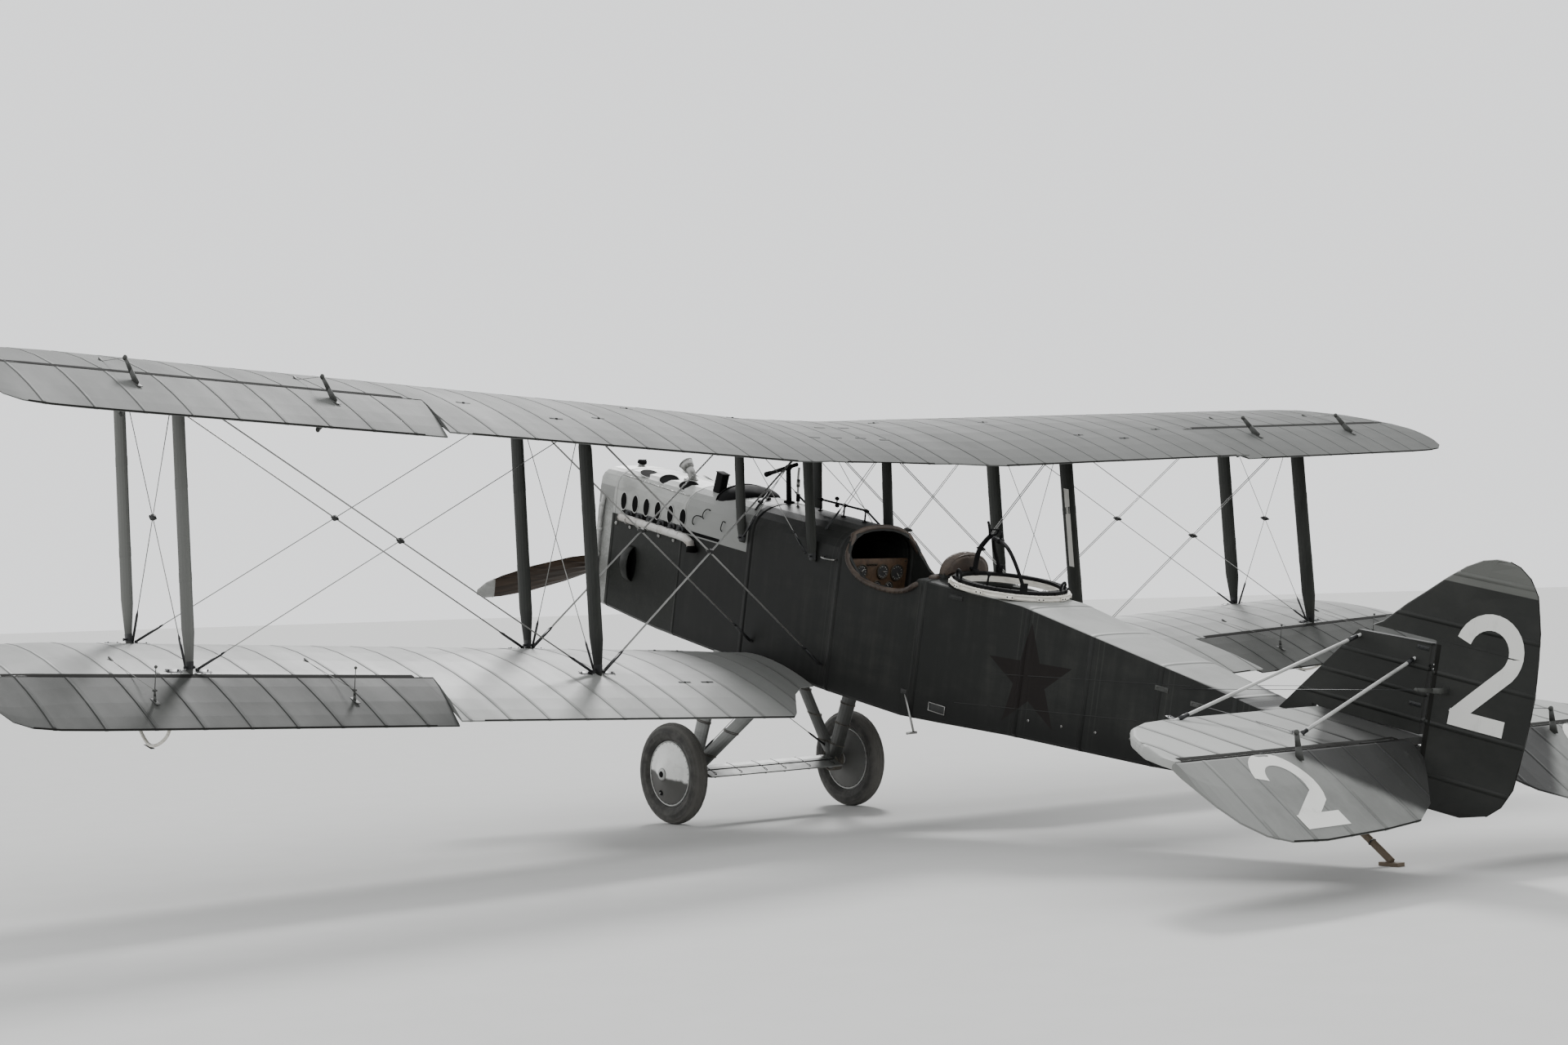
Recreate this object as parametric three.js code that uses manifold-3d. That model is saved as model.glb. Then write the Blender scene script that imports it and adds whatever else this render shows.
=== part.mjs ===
// Two-seat, two-bay biplane of the mid-1920s, parked on its wheels and tail skid.
// Millimetres. The aircraft is drawn level: x to port, y aft of the axle, z above the axle.
// One group then sets it down in its tail-down attitude, with the floor at z = 0.
import * as THREE from 'three';
import { mergeVertices } from 'three/addons/utils/BufferGeometryUtils.js';
import Module from 'manifold-3d';

const wasm = await Module();
wasm.setup();

// Driving dimensions
const TAU = Math.PI * 2;
const DEG = Math.PI / 180;
const SEAT_GAP = 0.3;            // between touching pieces
const HINGE_GAP = 8;             // round the nose of a control surface

const WHEEL_RADIUS = 400;
const GROUND_ANGLE = 12.49 * DEG; // tail-down attitude
const TRACK = 1860;
const TYRE_SECTION = 72;          // radius of the tyre's section
const AXLE_RADIUS = 25;

const CHORD = 1751;
const HALF_SPAN = 7012;
const INCIDENCE = 2.99 * DEG;
const DIHEDRAL = 2.71 * DEG;
const DIHEDRAL_START = 420;
const WING_THICKNESS = 0.066;     // of the chord
const WING_CAMBER = 0.038;
const TRAILING_EDGE = 5;          // half thickness
const UPPER = { leadingY: -478, leadingZ: 2753 };
const LOWER = { leadingY: -14, leadingZ: 945 };
const CENTRE_HALF = 450;
const ROOT_X = 385.3;             // lower wing root against the fuselage side
// Interplane struts' ends, as parts of the chord
const STRUT_ROWS = [{ row: 'front', head: 0.05, foot: 0.065 }, { row: 'rear', head: 0.565, foot: 0.59 }];
const BAYS = { inboard: 2486, outboard: 5600 };

const AILERON_HINGE = 0.635;      // of the chord
const AILERON_NOSE = 43;          // radius
const AILERON_ROOT_X = 3900;
const AILERON_SLANT = 0.24;       // outboard run of its inner end per length aft
const AILERON_DROOP = 3 * DEG;    // slack control cables let all four hang a little

const STRUT = { chord: 155, thick: 54, endScale: 0.42, taper: 310 };
const CABANE = { chord: 112, thick: 44, endScale: 0.6, taper: 150 };

const TAIL_HINGE_Y = 6125;
const TAIL_Z = 1734;              // stabilizer's middle plane
const TAIL_HALF_THICK = 38;
const ELEVATOR_NOSE = 24;         // radius, as on the rudder
const ELEVATOR_DROOP = 25 * DEG;  // as it is parked, stick forward
const FIN_HALF_THICK = 26;

const PROP = { y: -2289, z: 1320, radius: 1475, restAngle: -11.7 * DEG, boss: 120 };
const RING = { y: 2512, deckZ: 1955, outer: 432, inner: 352, height: 42 };

// One panel's plan: the wing tip's stations, with leading and trailing edge as parts of the chord
const TIP = [
  { x: 6200, lead: 0, trail: 1 },
  { x: 6480, lead: 0.03, trail: 1 },
  { x: 6700, lead: 0.115, trail: 1 },
  { x: 6860, lead: 0.25, trail: 0.99 },
  { x: 6955, lead: 0.42, trail: 0.955 },
  { x: 7000, lead: 0.58, trail: 0.895 },
  { x: HALF_SPAN, lead: 0.68, trail: 0.83 },
];

// Fuselage stations: half width, bottom, top of the flat side, crown
const FUSELAGE = [
  { y: -2160, wide: 369, bottom: 970, side: 1965, crown: 2150 },
  { y: -1890, wide: 376, bottom: 950, side: 1955, crown: 2166 },
  { y: -1190, wide: 382, bottom: 906, side: 1940, crown: 2172 },
  { y: -400, wide: 385, bottom: 890, side: 1930, crown: 2172 },
  { y: 1120, wide: 385, bottom: 890, side: 1930, crown: 2170 },
  { y: 1900, wide: 385, bottom: 900, side: 1928, crown: RING.deckZ },
  { y: 2250, wide: 364, bottom: 932, side: 1928, crown: RING.deckZ },
  { y: 2960, wide: 326, bottom: 1005, side: 1935, crown: RING.deckZ },
  { y: 4200, wide: 258, bottom: 1100, side: 1792, crown: 1806 },
  { y: 5010, wide: 213, bottom: 1185, side: 1690, crown: 1695 },
  { y: 5300, wide: 192, bottom: 1215, side: 1690, crown: 1695 },
  { y: 6085, wide: 50, bottom: 1300, side: 1690, crown: 1695 },
];
const COWL_END = -905;            // firewall
const FRONT_END = 3000;           // bulkhead behind the observer
const RADIATOR_BACK = -1940;
const WALL = 25;
// The crown is squarer towards the nose
const crownPower = (y) => 2.3 + 1.1 * Math.max(0, -1190 - y) / 970;

// Materials
function paint(color, roughness, metalness) {
  return new THREE.MeshStandardMaterial({ color, roughness, metalness });
}
const DARK_FABRIC = paint(0x3a3d34, 0.62, 0);
const LIGHT_FABRIC = paint(0xb9b9b0, 0.6, 0);
const GREY_FABRIC = paint(0x8d8f88, 0.6, 0);
const LIGHT_METAL = paint(0xa8aaa6, 0.42, 0.6);
const DARK_STEEL = paint(0x2b2c2d, 0.45, 0.7);
const DARK_WOOD = paint(0x33261c, 0.45, 0);
const ASH_WOOD = paint(0xb79a6c, 0.5, 0);
const TYRE_RUBBER = paint(0x55534f, 0.85, 0);
const LEATHER = paint(0x3a2a20, 0.55, 0);

// The shape with shared corners merged and nothing but positions
function bare(geometry) {
  const plain = geometry.clone();
  plain.deleteAttribute('normal');
  plain.deleteAttribute('uv');
  return mergeVertices(plain, 1e-3);
}

function solidOf(geometry) {
  const merged = bare(geometry);
  const mesh = new wasm.Mesh({
    numProp: 3,
    vertProperties: new Float32Array(merged.attributes.position.array),
    triVerts: new Uint32Array(merged.index.array),
  });
  return new wasm.Manifold(mesh);
}

function geometryOf(solid) {
  const mesh = solid.getMesh();
  const geometry = new THREE.BufferGeometry();
  geometry.setAttribute('position', new THREE.BufferAttribute(new Float32Array(mesh.vertProperties), 3));
  geometry.setIndex(new THREE.BufferAttribute(new Uint32Array(mesh.triVerts), 1));
  geometry.computeVertexNormals();
  return geometry;
}

function turnedOut(geometry) {
  const position = geometry.attributes.position;
  const index = geometry.index;
  const [a, b, c] = [new THREE.Vector3(), new THREE.Vector3(), new THREE.Vector3()];
  let volume = 0;
  for (let i = 0; i < index.count; i += 3) {
    a.fromBufferAttribute(position, index.getX(i));
    b.fromBufferAttribute(position, index.getX(i + 1));
    c.fromBufferAttribute(position, index.getX(i + 2));
    volume += a.dot(b.cross(c));
  }
  if (volume < 0) {
    for (let i = 0; i < index.count; i += 3) {
      const first = index.getX(i);
      index.setX(i, index.getX(i + 1));
      index.setX(i + 1, first);
    }
  }
  return geometry;
}

// A closed body through rings of points: a cylinder whose rows are moved onto the rings
function loft(rings) {
  const sides = rings[0].length;
  const geometry = new THREE.CylinderGeometry(1, 1, 1, sides, rings.length - 1);
  const position = geometry.attributes.position;
  for (let i = 0; i < position.count; i++) {
    const ring = rings[Math.round((0.5 - position.getY(i)) * (rings.length - 1))];
    const centre = Math.hypot(position.getX(i), position.getZ(i)) < 0.5;
    const turn = Math.atan2(position.getX(i), position.getZ(i)) / TAU;
    const points = centre ? ring : [ring[Math.round(turn * sides + sides) % sides]];
    const point = new THREE.Vector3();
    points.forEach((p) => point.add(new THREE.Vector3(...p)));
    point.divideScalar(points.length);
    position.setXYZ(i, point.x, point.y, point.z);
  }
  return turnedOut(bare(geometry));
}

function moved(geometry, x, y, z) {
  return geometry.clone().translate(x, y, z);
}

// The geometry turned about an axis through two points
function turnedAbout(geometry, from, to, angle) {
  const start = new THREE.Vector3(...from);
  const axis = new THREE.Vector3(...to).sub(start).normalize();
  const turned = moved(geometry, -start.x, -start.y, -start.z).applyQuaternion(
    new THREE.Quaternion().setFromAxisAngle(axis, angle));
  return moved(turned, start.x, start.y, start.z);
}

function joined(...geometries) {
  return geometryOf(geometries.map(solidOf).reduce((sum, one) => sum.add(one)));
}

function cut(geometry, ...cutters) {
  return geometryOf(cutters.map(solidOf).reduce((rest, one) => rest.subtract(one), solidOf(geometry)));
}

function common(geometry, other) {
  return geometryOf(solidOf(geometry).intersect(solidOf(other)));
}

function box(x0, x1, y0, y1, z0, z1) {
  return moved(new THREE.BoxGeometry(x1 - x0, y1 - y0, z1 - z0), (x0 + x1) / 2, (y0 + y1) / 2, (z0 + z1) / 2);
}

// A straight round rod between two points
function rod(from, to, radius, sides = 10) {
  const start = new THREE.Vector3(...from);
  const along = new THREE.Vector3(...to).sub(start);
  const shape = new THREE.CylinderGeometry(radius, radius, along.length(), sides);
  const turn = new THREE.Quaternion().setFromUnitVectors(new THREE.Vector3(0, 1, 0), along.clone().normalize());
  shape.applyQuaternion(turn);
  const middle = start.addScaledVector(along, 0.5);
  return moved(shape, middle.x, middle.y, middle.z);
}

// A round bar bent along a curve
function bar(points, radius, steps, quarterSides = 4) {
  const section = new THREE.Shape();
  section.absarc(0, 0, radius, 0, TAU);
  const path = new THREE.CatmullRomCurve3(points.map((p) => new THREE.Vector3(...p)));
  return new THREE.ExtrudeGeometry(section, { steps, curveSegments: quarterSides, extrudePath: path });
}

// A flat outline in the y-z plane, given width across x
function slab(outline, x0, x1) {
  const shape = new THREE.Shape(outline.map(([y, z]) => new THREE.Vector2(y, z)));
  const body = new THREE.ExtrudeGeometry(shape, { depth: x1 - x0, bevelEnabled: false });
  body.applyMatrix4(new THREE.Matrix4().makeBasis(
    new THREE.Vector3(0, 1, 0), new THREE.Vector3(0, 0, 1), new THREE.Vector3(1, 0, 0)));
  return moved(body, x0, 0, 0);
}

// Streamline section between two distances, round nose and thin tail: [distance, height] pairs
function streamline(start, end, half, tail) {
  const points = [];
  for (let k = 0; k <= 6; k++) {
    const angle = TAU / 4 + (Math.PI * k) / 6;
    points.push([start + half + half * Math.cos(angle), half * Math.sin(angle)]);
  }
  const belly = start + Math.max(half * 1.5, (end - start) * 0.4);
  points.push([belly, -half * 0.97], [end, -tail], [end, tail], [belly, half * 0.97]);
  return points;
}

// Streamlined strut between two points, thinned towards its ends, its chord along y
function strut(from, to, form) {
  const start = new THREE.Vector3(...from);
  const along = new THREE.Vector3(...to).sub(start);
  const length = along.length();
  const reach = form.taper / length;
  const stations = [[0, form.endScale], [reach, 1], [0.5, 1], [1 - reach * 0.7, 1], [1, form.endScale]];
  return loft(stations.map(([share, scale]) => {
    const middle = start.clone().addScaledVector(along, share);
    return Array.from({ length: 14 }, (_, k) => {
      const angle = (TAU * k) / 14;
      const y = middle.y + (form.chord / 2) * scale * Math.cos(angle);
      return [middle.x + (form.thick / 2) * scale * Math.sin(angle), y, middle.z];
    });
  }));
}

// Wings
function wingPoint(wing, x, part, height) {
  const rise = Math.max(Math.abs(x) - DIHEDRAL_START, 0) * Math.tan(DIHEDRAL);
  const y = wing.leadingY + part * CHORD * Math.cos(INCIDENCE) + height * Math.sin(INCIDENCE);
  return [x, y, wing.leadingZ + rise - part * CHORD * Math.sin(INCIDENCE) + height * Math.cos(INCIDENCE)];
}

function camberAt(part) {
  return WING_CAMBER * CHORD * 4 * part * (1 - part);
}

function halfThicknessAt(part) {
  const root = 0.2969 * Math.sqrt(part) - 0.126 * part - 0.3516 * part ** 2 + 0.2843 * part ** 3
    - 0.1036 * part ** 4;
  return 5 * WING_THICKNESS * CHORD * root + TRAILING_EDGE * part;
}

function wingRing(wing, side, { x, lead, trail }) {
  const across = 11;
  const ring = [];
  const scale = trail - lead;
  const hingeShare = THREE.MathUtils.clamp((AILERON_HINGE - lead) / scale, 0, 1);
  const lift = lead > 0 ? camberAt(AILERON_HINGE) - scale * camberAt(hingeShare) : 0;   // tip keeps to the hinge line
  for (const face of [1, -1]) {
    for (let k = 0; k < across; k++) {
      const step = (k + (face > 0 ? 0 : 1)) / across;
      const turn = Math.PI * (face > 0 ? step : 1 - step);
      const part = 0.5 * (1 + Math.cos(turn));
      const height = lift + scale * (camberAt(part) + face * halfThicknessAt(part));
      ring.push(wingPoint(wing, side * x, lead + scale * part, height));
    }
  }
  ring.push(wingPoint(wing, side * x, trail, lift - scale * TRAILING_EDGE));
  return ring.filter((p, k) => k !== across * 2 - 1 || Math.abs(p[1] - ring[0][1]) > 1);
}

function panel(wing, side, rootX, cutOut) {
  const inner = cutOut.map(([x, trail]) => ({ x, lead: 0, trail }));
  const stations = [...inner, ...TIP].filter((s) => s.x >= rootX);
  return loft(stations.map((station) => wingRing(wing, side, station)));
}

// The space of an aileron, larger all round by grow
function aileronSpace(wing, side, grow) {
  const axis = camberAt(AILERON_HINGE);
  const radius = AILERON_NOSE + grow;
  const outline = [];
  for (let k = 0; k <= 8; k++) {
    const angle = TAU / 4 + (Math.PI * k) / 8;
    outline.push([radius * Math.cos(angle), axis + radius * Math.sin(angle)]);
  }
  outline.push([-grow, axis - 260], [CHORD * 0.5, axis - 260], [CHORD * 0.5, axis + 260], [-grow, axis + 260]);
  const ring = (x, slant) => outline.map(([aft, height]) => wingPoint(
    wing, side * (x + slant * aft), AILERON_HINGE + aft / CHORD, height));
  return loft([ring(AILERON_ROOT_X - grow, AILERON_SLANT), ring(HALF_SPAN + 100, 0)]);
}

const TRAILING_CUT = [[CENTRE_HALF + SEAT_GAP, 0.905], [640, 0.92], [860, 0.97], [1080, 1], [2400, 1]];
const ROOT_CUT = [[ROOT_X, 0.54], [540, 0.56], [740, 0.66], [950, 0.81], [1130, 0.94], [1240, 1], [2400, 1]];
const PANELS = [
  { level: 'upper', wing: UPPER, side: 1, hand: 'left', rootX: CENTRE_HALF + SEAT_GAP, edge: TRAILING_CUT },
  { level: 'upper', wing: UPPER, side: -1, hand: 'right', rootX: CENTRE_HALF + SEAT_GAP, edge: TRAILING_CUT },
  { level: 'lower', wing: LOWER, side: 1, hand: 'left', rootX: ROOT_X, edge: ROOT_CUT },
  { level: 'lower', wing: LOWER, side: -1, hand: 'right', rootX: ROOT_X, edge: ROOT_CUT },
];

const aircraft = new THREE.Group();
aircraft.rotation.x = -GROUND_ANGLE;
aircraft.position.z = WHEEL_RADIUS;

function add(name, geometry, material) {
  const mesh = new THREE.Mesh(geometry, material);
  mesh.name = name;
  aircraft.add(mesh);
  return mesh;
}

const centreRings = [-CENTRE_HALF, -220, 0, 220, CENTRE_HALF].map((x) => wingRing(
  UPPER, 1, { x, lead: 0, trail: 0.905 - 0.02 * (1 - Math.abs(x) / CENTRE_HALF) }));
const upperCentre = loft(centreRings);
add('upper_wing_center', upperCentre, LIGHT_FABRIC);

const wholeWings = { 'upper center': upperCentre };
for (const { level, wing, side, hand, rootX, edge } of PANELS) {
  const whole = panel(wing, side, rootX, edge);
  wholeWings[`${level} ${hand}`] = whole;
  const onHinge = (x) => wingPoint(wing, side * x, AILERON_HINGE, camberAt(AILERON_HINGE));
  const pin = (radius, length) => rod(
    onHinge(AILERON_ROOT_X - HINGE_GAP - 12), onHinge(AILERON_ROOT_X + length), radius);
  add(`${level}_wing_${hand}`, joined(cut(whole, aileronSpace(wing, side, HINGE_GAP)), pin(9, 60)), LIGHT_FABRIC);
  const aileron = turnedAbout(common(whole, aileronSpace(wing, side, 0)), onHinge(AILERON_ROOT_X),
    onHinge(HALF_SPAN), -side * AILERON_DROOP);
  add(`${level}_aileron_${hand}`, cut(aileron, pin(9.6, 66)), GREY_FABRIC);
}

// Interplane struts, their ends cut to the wings' skins
for (const { hand, side } of PANELS.slice(0, 2)) {
  for (const [bay, x] of Object.entries(BAYS)) {
    for (const { row, head, foot } of STRUT_ROWS) {
      const low = wingPoint(LOWER, side * x, foot, camberAt(foot));
      const high = wingPoint(UPPER, side * x, head, camberAt(head));
      const seated = cut(strut(low, high, STRUT), moved(wholeWings[`lower ${hand}`], 0, 0, SEAT_GAP),
        moved(wholeWings[`upper ${hand}`], 0, 0, -SEAT_GAP));
      add(`interplane_strut_${bay}_${row}_${hand}`, biggest(seated), DARK_FABRIC);
    }
  }
}

// The largest connected piece, without the stubs that a cut leaves beyond a skin
function biggest(geometry) {
  const parts = solidOf(geometry).decompose();
  return geometryOf(parts.reduce((best, one) => (one.volume() > best.volume() ? one : best)));
}

// Fuselage
function fuselageRing({ y, wide, bottom, side, crown }, inset = 0) {
  const half = wide - inset;
  const floor = bottom + inset;
  const chamfer = 26;
  const top = crown - inset;
  const shoulder = side - inset * 0.4;
  const right = [[half - chamfer, floor], [half, floor + chamfer], [half, shoulder]];
  for (let k = 1; k <= 6; k++) {
    const angle = (TAU / 4) * (k / 6);
    const x = half * Math.cos(angle) ** (2 / crownPower(y));
    right.push([x, shoulder + (top - shoulder) * Math.sin(angle) ** (2 / crownPower(y))]);
  }
  const left = right.slice(0, -1).reverse().map(([x, z]) => [-x, z]);
  return [...right, ...left].map(([x, z]) => [x, y, z]);
}

function stationAt(y) {
  const next = FUSELAGE.findIndex((s) => s.y >= y);
  const [a, b] = [FUSELAGE[Math.max(next - 1, 0)], FUSELAGE[next]];
  const share = a === b ? 0 : (y - a.y) / (b.y - a.y);
  const mix = (key) => a[key] + (b[key] - a[key]) * share;
  return { y, wide: mix('wide'), bottom: mix('bottom'), side: mix('side'), crown: mix('crown') };
}

function fuselageBetween(y0, y1, inset = 0) {
  const inner = FUSELAGE.filter((s) => s.y > y0 + 1 && s.y < y1 - 1);
  return loft([stationAt(y0), ...inner, stationAt(y1)].map((s) => fuselageRing(s, inset)));
}

const COWL_WALL = 18;
const cowl = cut(fuselageBetween(RADIATOR_BACK + SEAT_GAP, COWL_END - SEAT_GAP),
  fuselageBetween(RADIATOR_BACK, COWL_END, COWL_WALL),
  box(-300, 300, RADIATOR_BACK - 40, RADIATOR_BACK + 40, 1010, 2050),
  box(-300, 300, COWL_END - 40, COWL_END + 40, 1010, 2050));
add('engine_cowl', cowl, LIGHT_METAL);
add('radiator', fuselageBetween(FUSELAGE[0].y, RADIATOR_BACK), DARK_STEEL);
add('engine_block', box(-270, 270, -1880, COWL_END - SEAT_GAP, 1000, 1840), DARK_STEEL);

// Side outline of the pilot's opening, cut straight through both sides
const PILOT_CUT = [[1090, 2300], [1095, 2120], [1160, 1960], [1290, 1850], [1440, 1812], [1700, 1812],
  [1830, 1848], [1920, 1905], [1962, 1965], [1970, 2300]];
const observerHole = moved(new THREE.CylinderGeometry(322, 322, 500, 32).rotateX(TAU / 4), 0, RING.y, 1900);
const frontShell = cut(fuselageBetween(COWL_END, FRONT_END - SEAT_GAP),
  fuselageBetween(COWL_END + WALL, FRONT_END - SEAT_GAP - WALL, WALL), slab(PILOT_CUT, -500, 500), observerHole);
add('fuselage_front', frontShell, DARK_FABRIC);
add('fuselage_rear', fuselageBetween(FRONT_END, FUSELAGE.at(-1).y), DARK_FABRIC);

// Exhaust manifolds along the cowl's shoulders, each with an elbow turned down
const EXHAUST = { radius: 34, fromCowl: 0.6 };
const EXHAUST_LINE = [[-1770, 1759], [-1190, 1752], [-860, 1745], [-790, 1733], [-742, 1700], [-728, 1645]];
for (const [hand, side] of [['left', 1], ['right', -1]]) {
  const points = EXHAUST_LINE.map(([y, z]) => [
    side * (stationAt(y).wide + EXHAUST.radius + EXHAUST.fromCowl), y, z]);
  add(`exhaust_${hand}`, bar(points, EXHAUST.radius, 14, 6), LIGHT_METAL);
}

// Cockpit fittings
const floorAt = (y) => stationAt(y).bottom + WALL + SEAT_GAP;
const wellHalf = 385 - WALL;
add('instrument_board', box(-wellHalf + SEAT_GAP, wellHalf - SEAT_GAP, 1010, 1024, 1620, 1912), DARK_WOOD);
const seatBox = box(-190, 190, 1350, 1690, floorAt(1690), 1310);
const seatBack = slab([[1640, 1300], [1700, 1300], [1790, 1790], [1740, 1800]], -190, 190);
const seatSides = [box(-190, -165, 1400, 1700, 1300, 1440), box(165, 190, 1400, 1700, 1300, 1440)];
add('pilot_seat', joined(seatBox, seatBack, ...seatSides), LEATHER);
const stool = moved(new THREE.CylinderGeometry(170, 170, 60, 24).rotateX(TAU / 4), 0, RING.y - 120, 1470);
const stoolPost = rod([0, RING.y - 120, floorAt(RING.y - 80)], [0, RING.y - 120, 1450], 40, 12);
add('observer_seat', joined(stool, stoolPost), LEATHER);
const headrestRings = [[1980, 0.85], [1994, 1], [2060, 1], [2074, 0.88]].map(([y, scale]) => Array.from(
  { length: 16 }, (_, k) => {
    const angle = Math.PI * (k / 15);
    const rise = 190 * scale * Math.sin(angle) ** 0.8;
    return [250 * Math.cos(angle), y, RING.deckZ + SEAT_GAP + rise];
  }));
add('headrest', loft(headrestRings), LEATHER);
const frontSolid = fuselageBetween(COWL_END, FRONT_END);

// Observer's ring, its turning ring and tilting bow
function hoop(inner, outer, z0, z1, sides = 40) {
  const profile = [[inner, z0], [outer, z0], [outer, z1], [inner, z1], [inner, z0]];
  const body = new THREE.LatheGeometry(profile.map(([r, z]) => new THREE.Vector2(r, z)), sides);
  return moved(turnedOut(bare(body.rotateX(TAU / 4))), 0, RING.y, 0);
}
const ringBaseZ = RING.deckZ + SEAT_GAP;
add('gun_ring_base', hoop(RING.inner, RING.outer, ringBaseZ, ringBaseZ + RING.height), ASH_WOOD);
const turningZ = ringBaseZ + RING.height + 0.5;
const TURNING = { inner: 362, outer: 412, height: 24 };
const BOW = { heading: 58 * DEG, lean: 24 * DEG, reach: 384, rise: 285, radius: 14, pivotZ: turningZ + 52 };
const bowEnd = (sign, out) => [sign * out * Math.cos(BOW.heading), RING.y + sign * out * Math.sin(BOW.heading)];
const cheeks = [1, -1].map((sign) => {
  const [x, y] = bowEnd(sign, BOW.reach);
  return moved(new THREE.BoxGeometry(52, 14, 60).rotateZ(BOW.heading + TAU / 4),
    x + 16 * sign * Math.cos(BOW.heading), y + 16 * sign * Math.sin(BOW.heading), turningZ + TURNING.height + 26);
});
const pivotPin = [1, -1].map((sign) => rod([...bowEnd(sign, BOW.reach + 12), BOW.pivotZ],
  [...bowEnd(sign, BOW.reach - 18), BOW.pivotZ], 6));
add('gun_ring', joined(hoop(TURNING.inner, TURNING.outer, turningZ, turningZ + TURNING.height), ...cheeks,
  ...pivotPin), DARK_STEEL);
const across = new THREE.Vector3(Math.cos(BOW.heading), Math.sin(BOW.heading), 0);
const upward = new THREE.Vector3(0, 0, 1).applyAxisAngle(across, BOW.lean);
const bowPoint = (out, rise) => new THREE.Vector3(0, RING.y, BOW.pivotZ).addScaledVector(across, out)
  .addScaledVector(upward, rise).toArray();
const bowLine = [[-370, 0], [-366, 90], [-330, 190], [-240, 260], [0, BOW.rise], [240, 260], [330, 190],
  [366, 90], [370, 0]].map(([out, rise]) => bowPoint(out, rise));
const eyes = [1, -1].map((sign) => rod(bowPoint(sign * 358, 0), bowPoint(sign * 378, 0), 18, 12));
const eyeHoles = [1, -1].map((sign) => rod(bowPoint(sign * 340, 0), bowPoint(sign * 400, 0), 6.5, 12));
add('gun_bow', cut(joined(bar(bowLine, BOW.radius, 32), ...eyes), ...eyeHoles), DARK_STEEL);

// Cabane struts, footed on the fuselage's shoulders
const CABANE_FEET = [
  { row: 'front', y: -112, z: 1840, part: 0.1 },
  { row: 'rear', y: 772, z: 1850, part: 0.59 },
];
for (const { row, y, z, part } of CABANE_FEET) {
  for (const [hand, side] of [['left', 1], ['right', -1]]) {
    const head = wingPoint(UPPER, side * 415, part, camberAt(part));
    const foot = [side * 400, y, z];
    const seated = cut(strut(foot, head, CABANE), moved(upperCentre, 0, 0, -SEAT_GAP),
      moved(frontSolid, side * SEAT_GAP, 0, 0));
    add(`cabane_strut_${row}_${hand}`, biggest(seated), DARK_FABRIC);
  }
}

// Tail
function surface(stations, half, tail, place) {
  return loft(stations.map(({ at, nose, end }) => streamline(nose, end, half, tail).map(
    ([aft, height]) => place(at, aft, height))));
}

const STABILIZER = [
  { at: 0, nose: 5300, end: 6090 }, { at: 1430, nose: 5318, end: 6090 }, { at: 1700, nose: 5352, end: 6090 },
  { at: 1900, nose: 5440, end: 6090 }, { at: 2060, nose: 5590, end: 6090 }, { at: 2190, nose: 5790, end: 6090 },
  { at: 2262, nose: 5985, end: 6090 },
];
const mirrored = [...STABILIZER.slice(1).reverse().map((s) => ({ ...s, at: -s.at })), ...STABILIZER];
const stabilizerEnd = TAIL_HINGE_Y - ELEVATOR_NOSE - HINGE_GAP;
const stabilizer = loft(mirrored.map(({ at, nose }) => {
  const half = Math.min(TAIL_HALF_THICK, (stabilizerEnd - nose) * 0.22);
  return streamline(nose, stabilizerEnd, half, Math.min(ELEVATOR_NOSE, half)).map(
    ([aft, height]) => [at, aft, TAIL_Z + height]);
}));
const elevatorPin = (side, radius, end) => rod([side * 150, TAIL_HINGE_Y, TAIL_Z],
  [side * end, TAIL_HINGE_Y, TAIL_Z], radius);
const hingeArm = (side) => box(Math.min(side * 150, side * 166), Math.max(side * 150, side * 166),
  stabilizerEnd - 60, TAIL_HINGE_Y + 8, TAIL_Z - 10, TAIL_Z + 10);
add('stabilizer', joined(stabilizer, hingeArm(1), hingeArm(-1), elevatorPin(1, 7, 420), elevatorPin(-1, 7, 420)), LIGHT_FABRIC);

const ELEVATOR = [
  { at: 175, chord: 130 }, { at: 320, chord: 285 }, { at: 560, chord: 515 }, { at: 790, chord: 632 },
  { at: 1150, chord: 662 }, { at: 1690, chord: 678 }, { at: 1960, chord: 655 }, { at: 2110, chord: 590 },
  { at: 2215, chord: 470 }, { at: 2270, chord: 330 }, { at: 2292, chord: 190 },
];
for (const [hand, side] of [['left', 1], ['right', -1]]) {
  const droop = (x, aft, height) => [side * x,
    TAIL_HINGE_Y + aft * Math.cos(ELEVATOR_DROOP) + height * Math.sin(ELEVATOR_DROOP),
    TAIL_Z - aft * Math.sin(ELEVATOR_DROOP) + height * Math.cos(ELEVATOR_DROOP)];
  const stations = ELEVATOR.map(({ at, chord }) => ({ at, nose: -ELEVATOR_NOSE, end: chord }));
  add(`elevator_${hand}`, cut(surface(stations, ELEVATOR_NOSE, 6, droop), elevatorPin(side, 7.5, 426)), GREY_FABRIC);
}

const FIN = [[5035, 1695 + SEAT_GAP], [5285, 1695 + SEAT_GAP], [5285, 1782], [5340, TAIL_Z + TAIL_HALF_THICK + 0.6],
  [6088, TAIL_Z + TAIL_HALF_THICK + 0.6], [6088, 2338], [5553, 2312]];
const RUDDER_AXIS_Y = 6130;
const fin = slab(FIN, -FIN_HALF_THICK, FIN_HALF_THICK);
const finArm = box(-9, 9, 6060, RUDDER_AXIS_Y + 8, 2190, 2206);
const rudderPin = (radius, top) => rod([0, RUDDER_AXIS_Y, 2192], [0, RUDDER_AXIS_Y, top], radius);
add('fin', joined(fin, finArm, rudderPin(7, 2300)), DARK_FABRIC);

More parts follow.
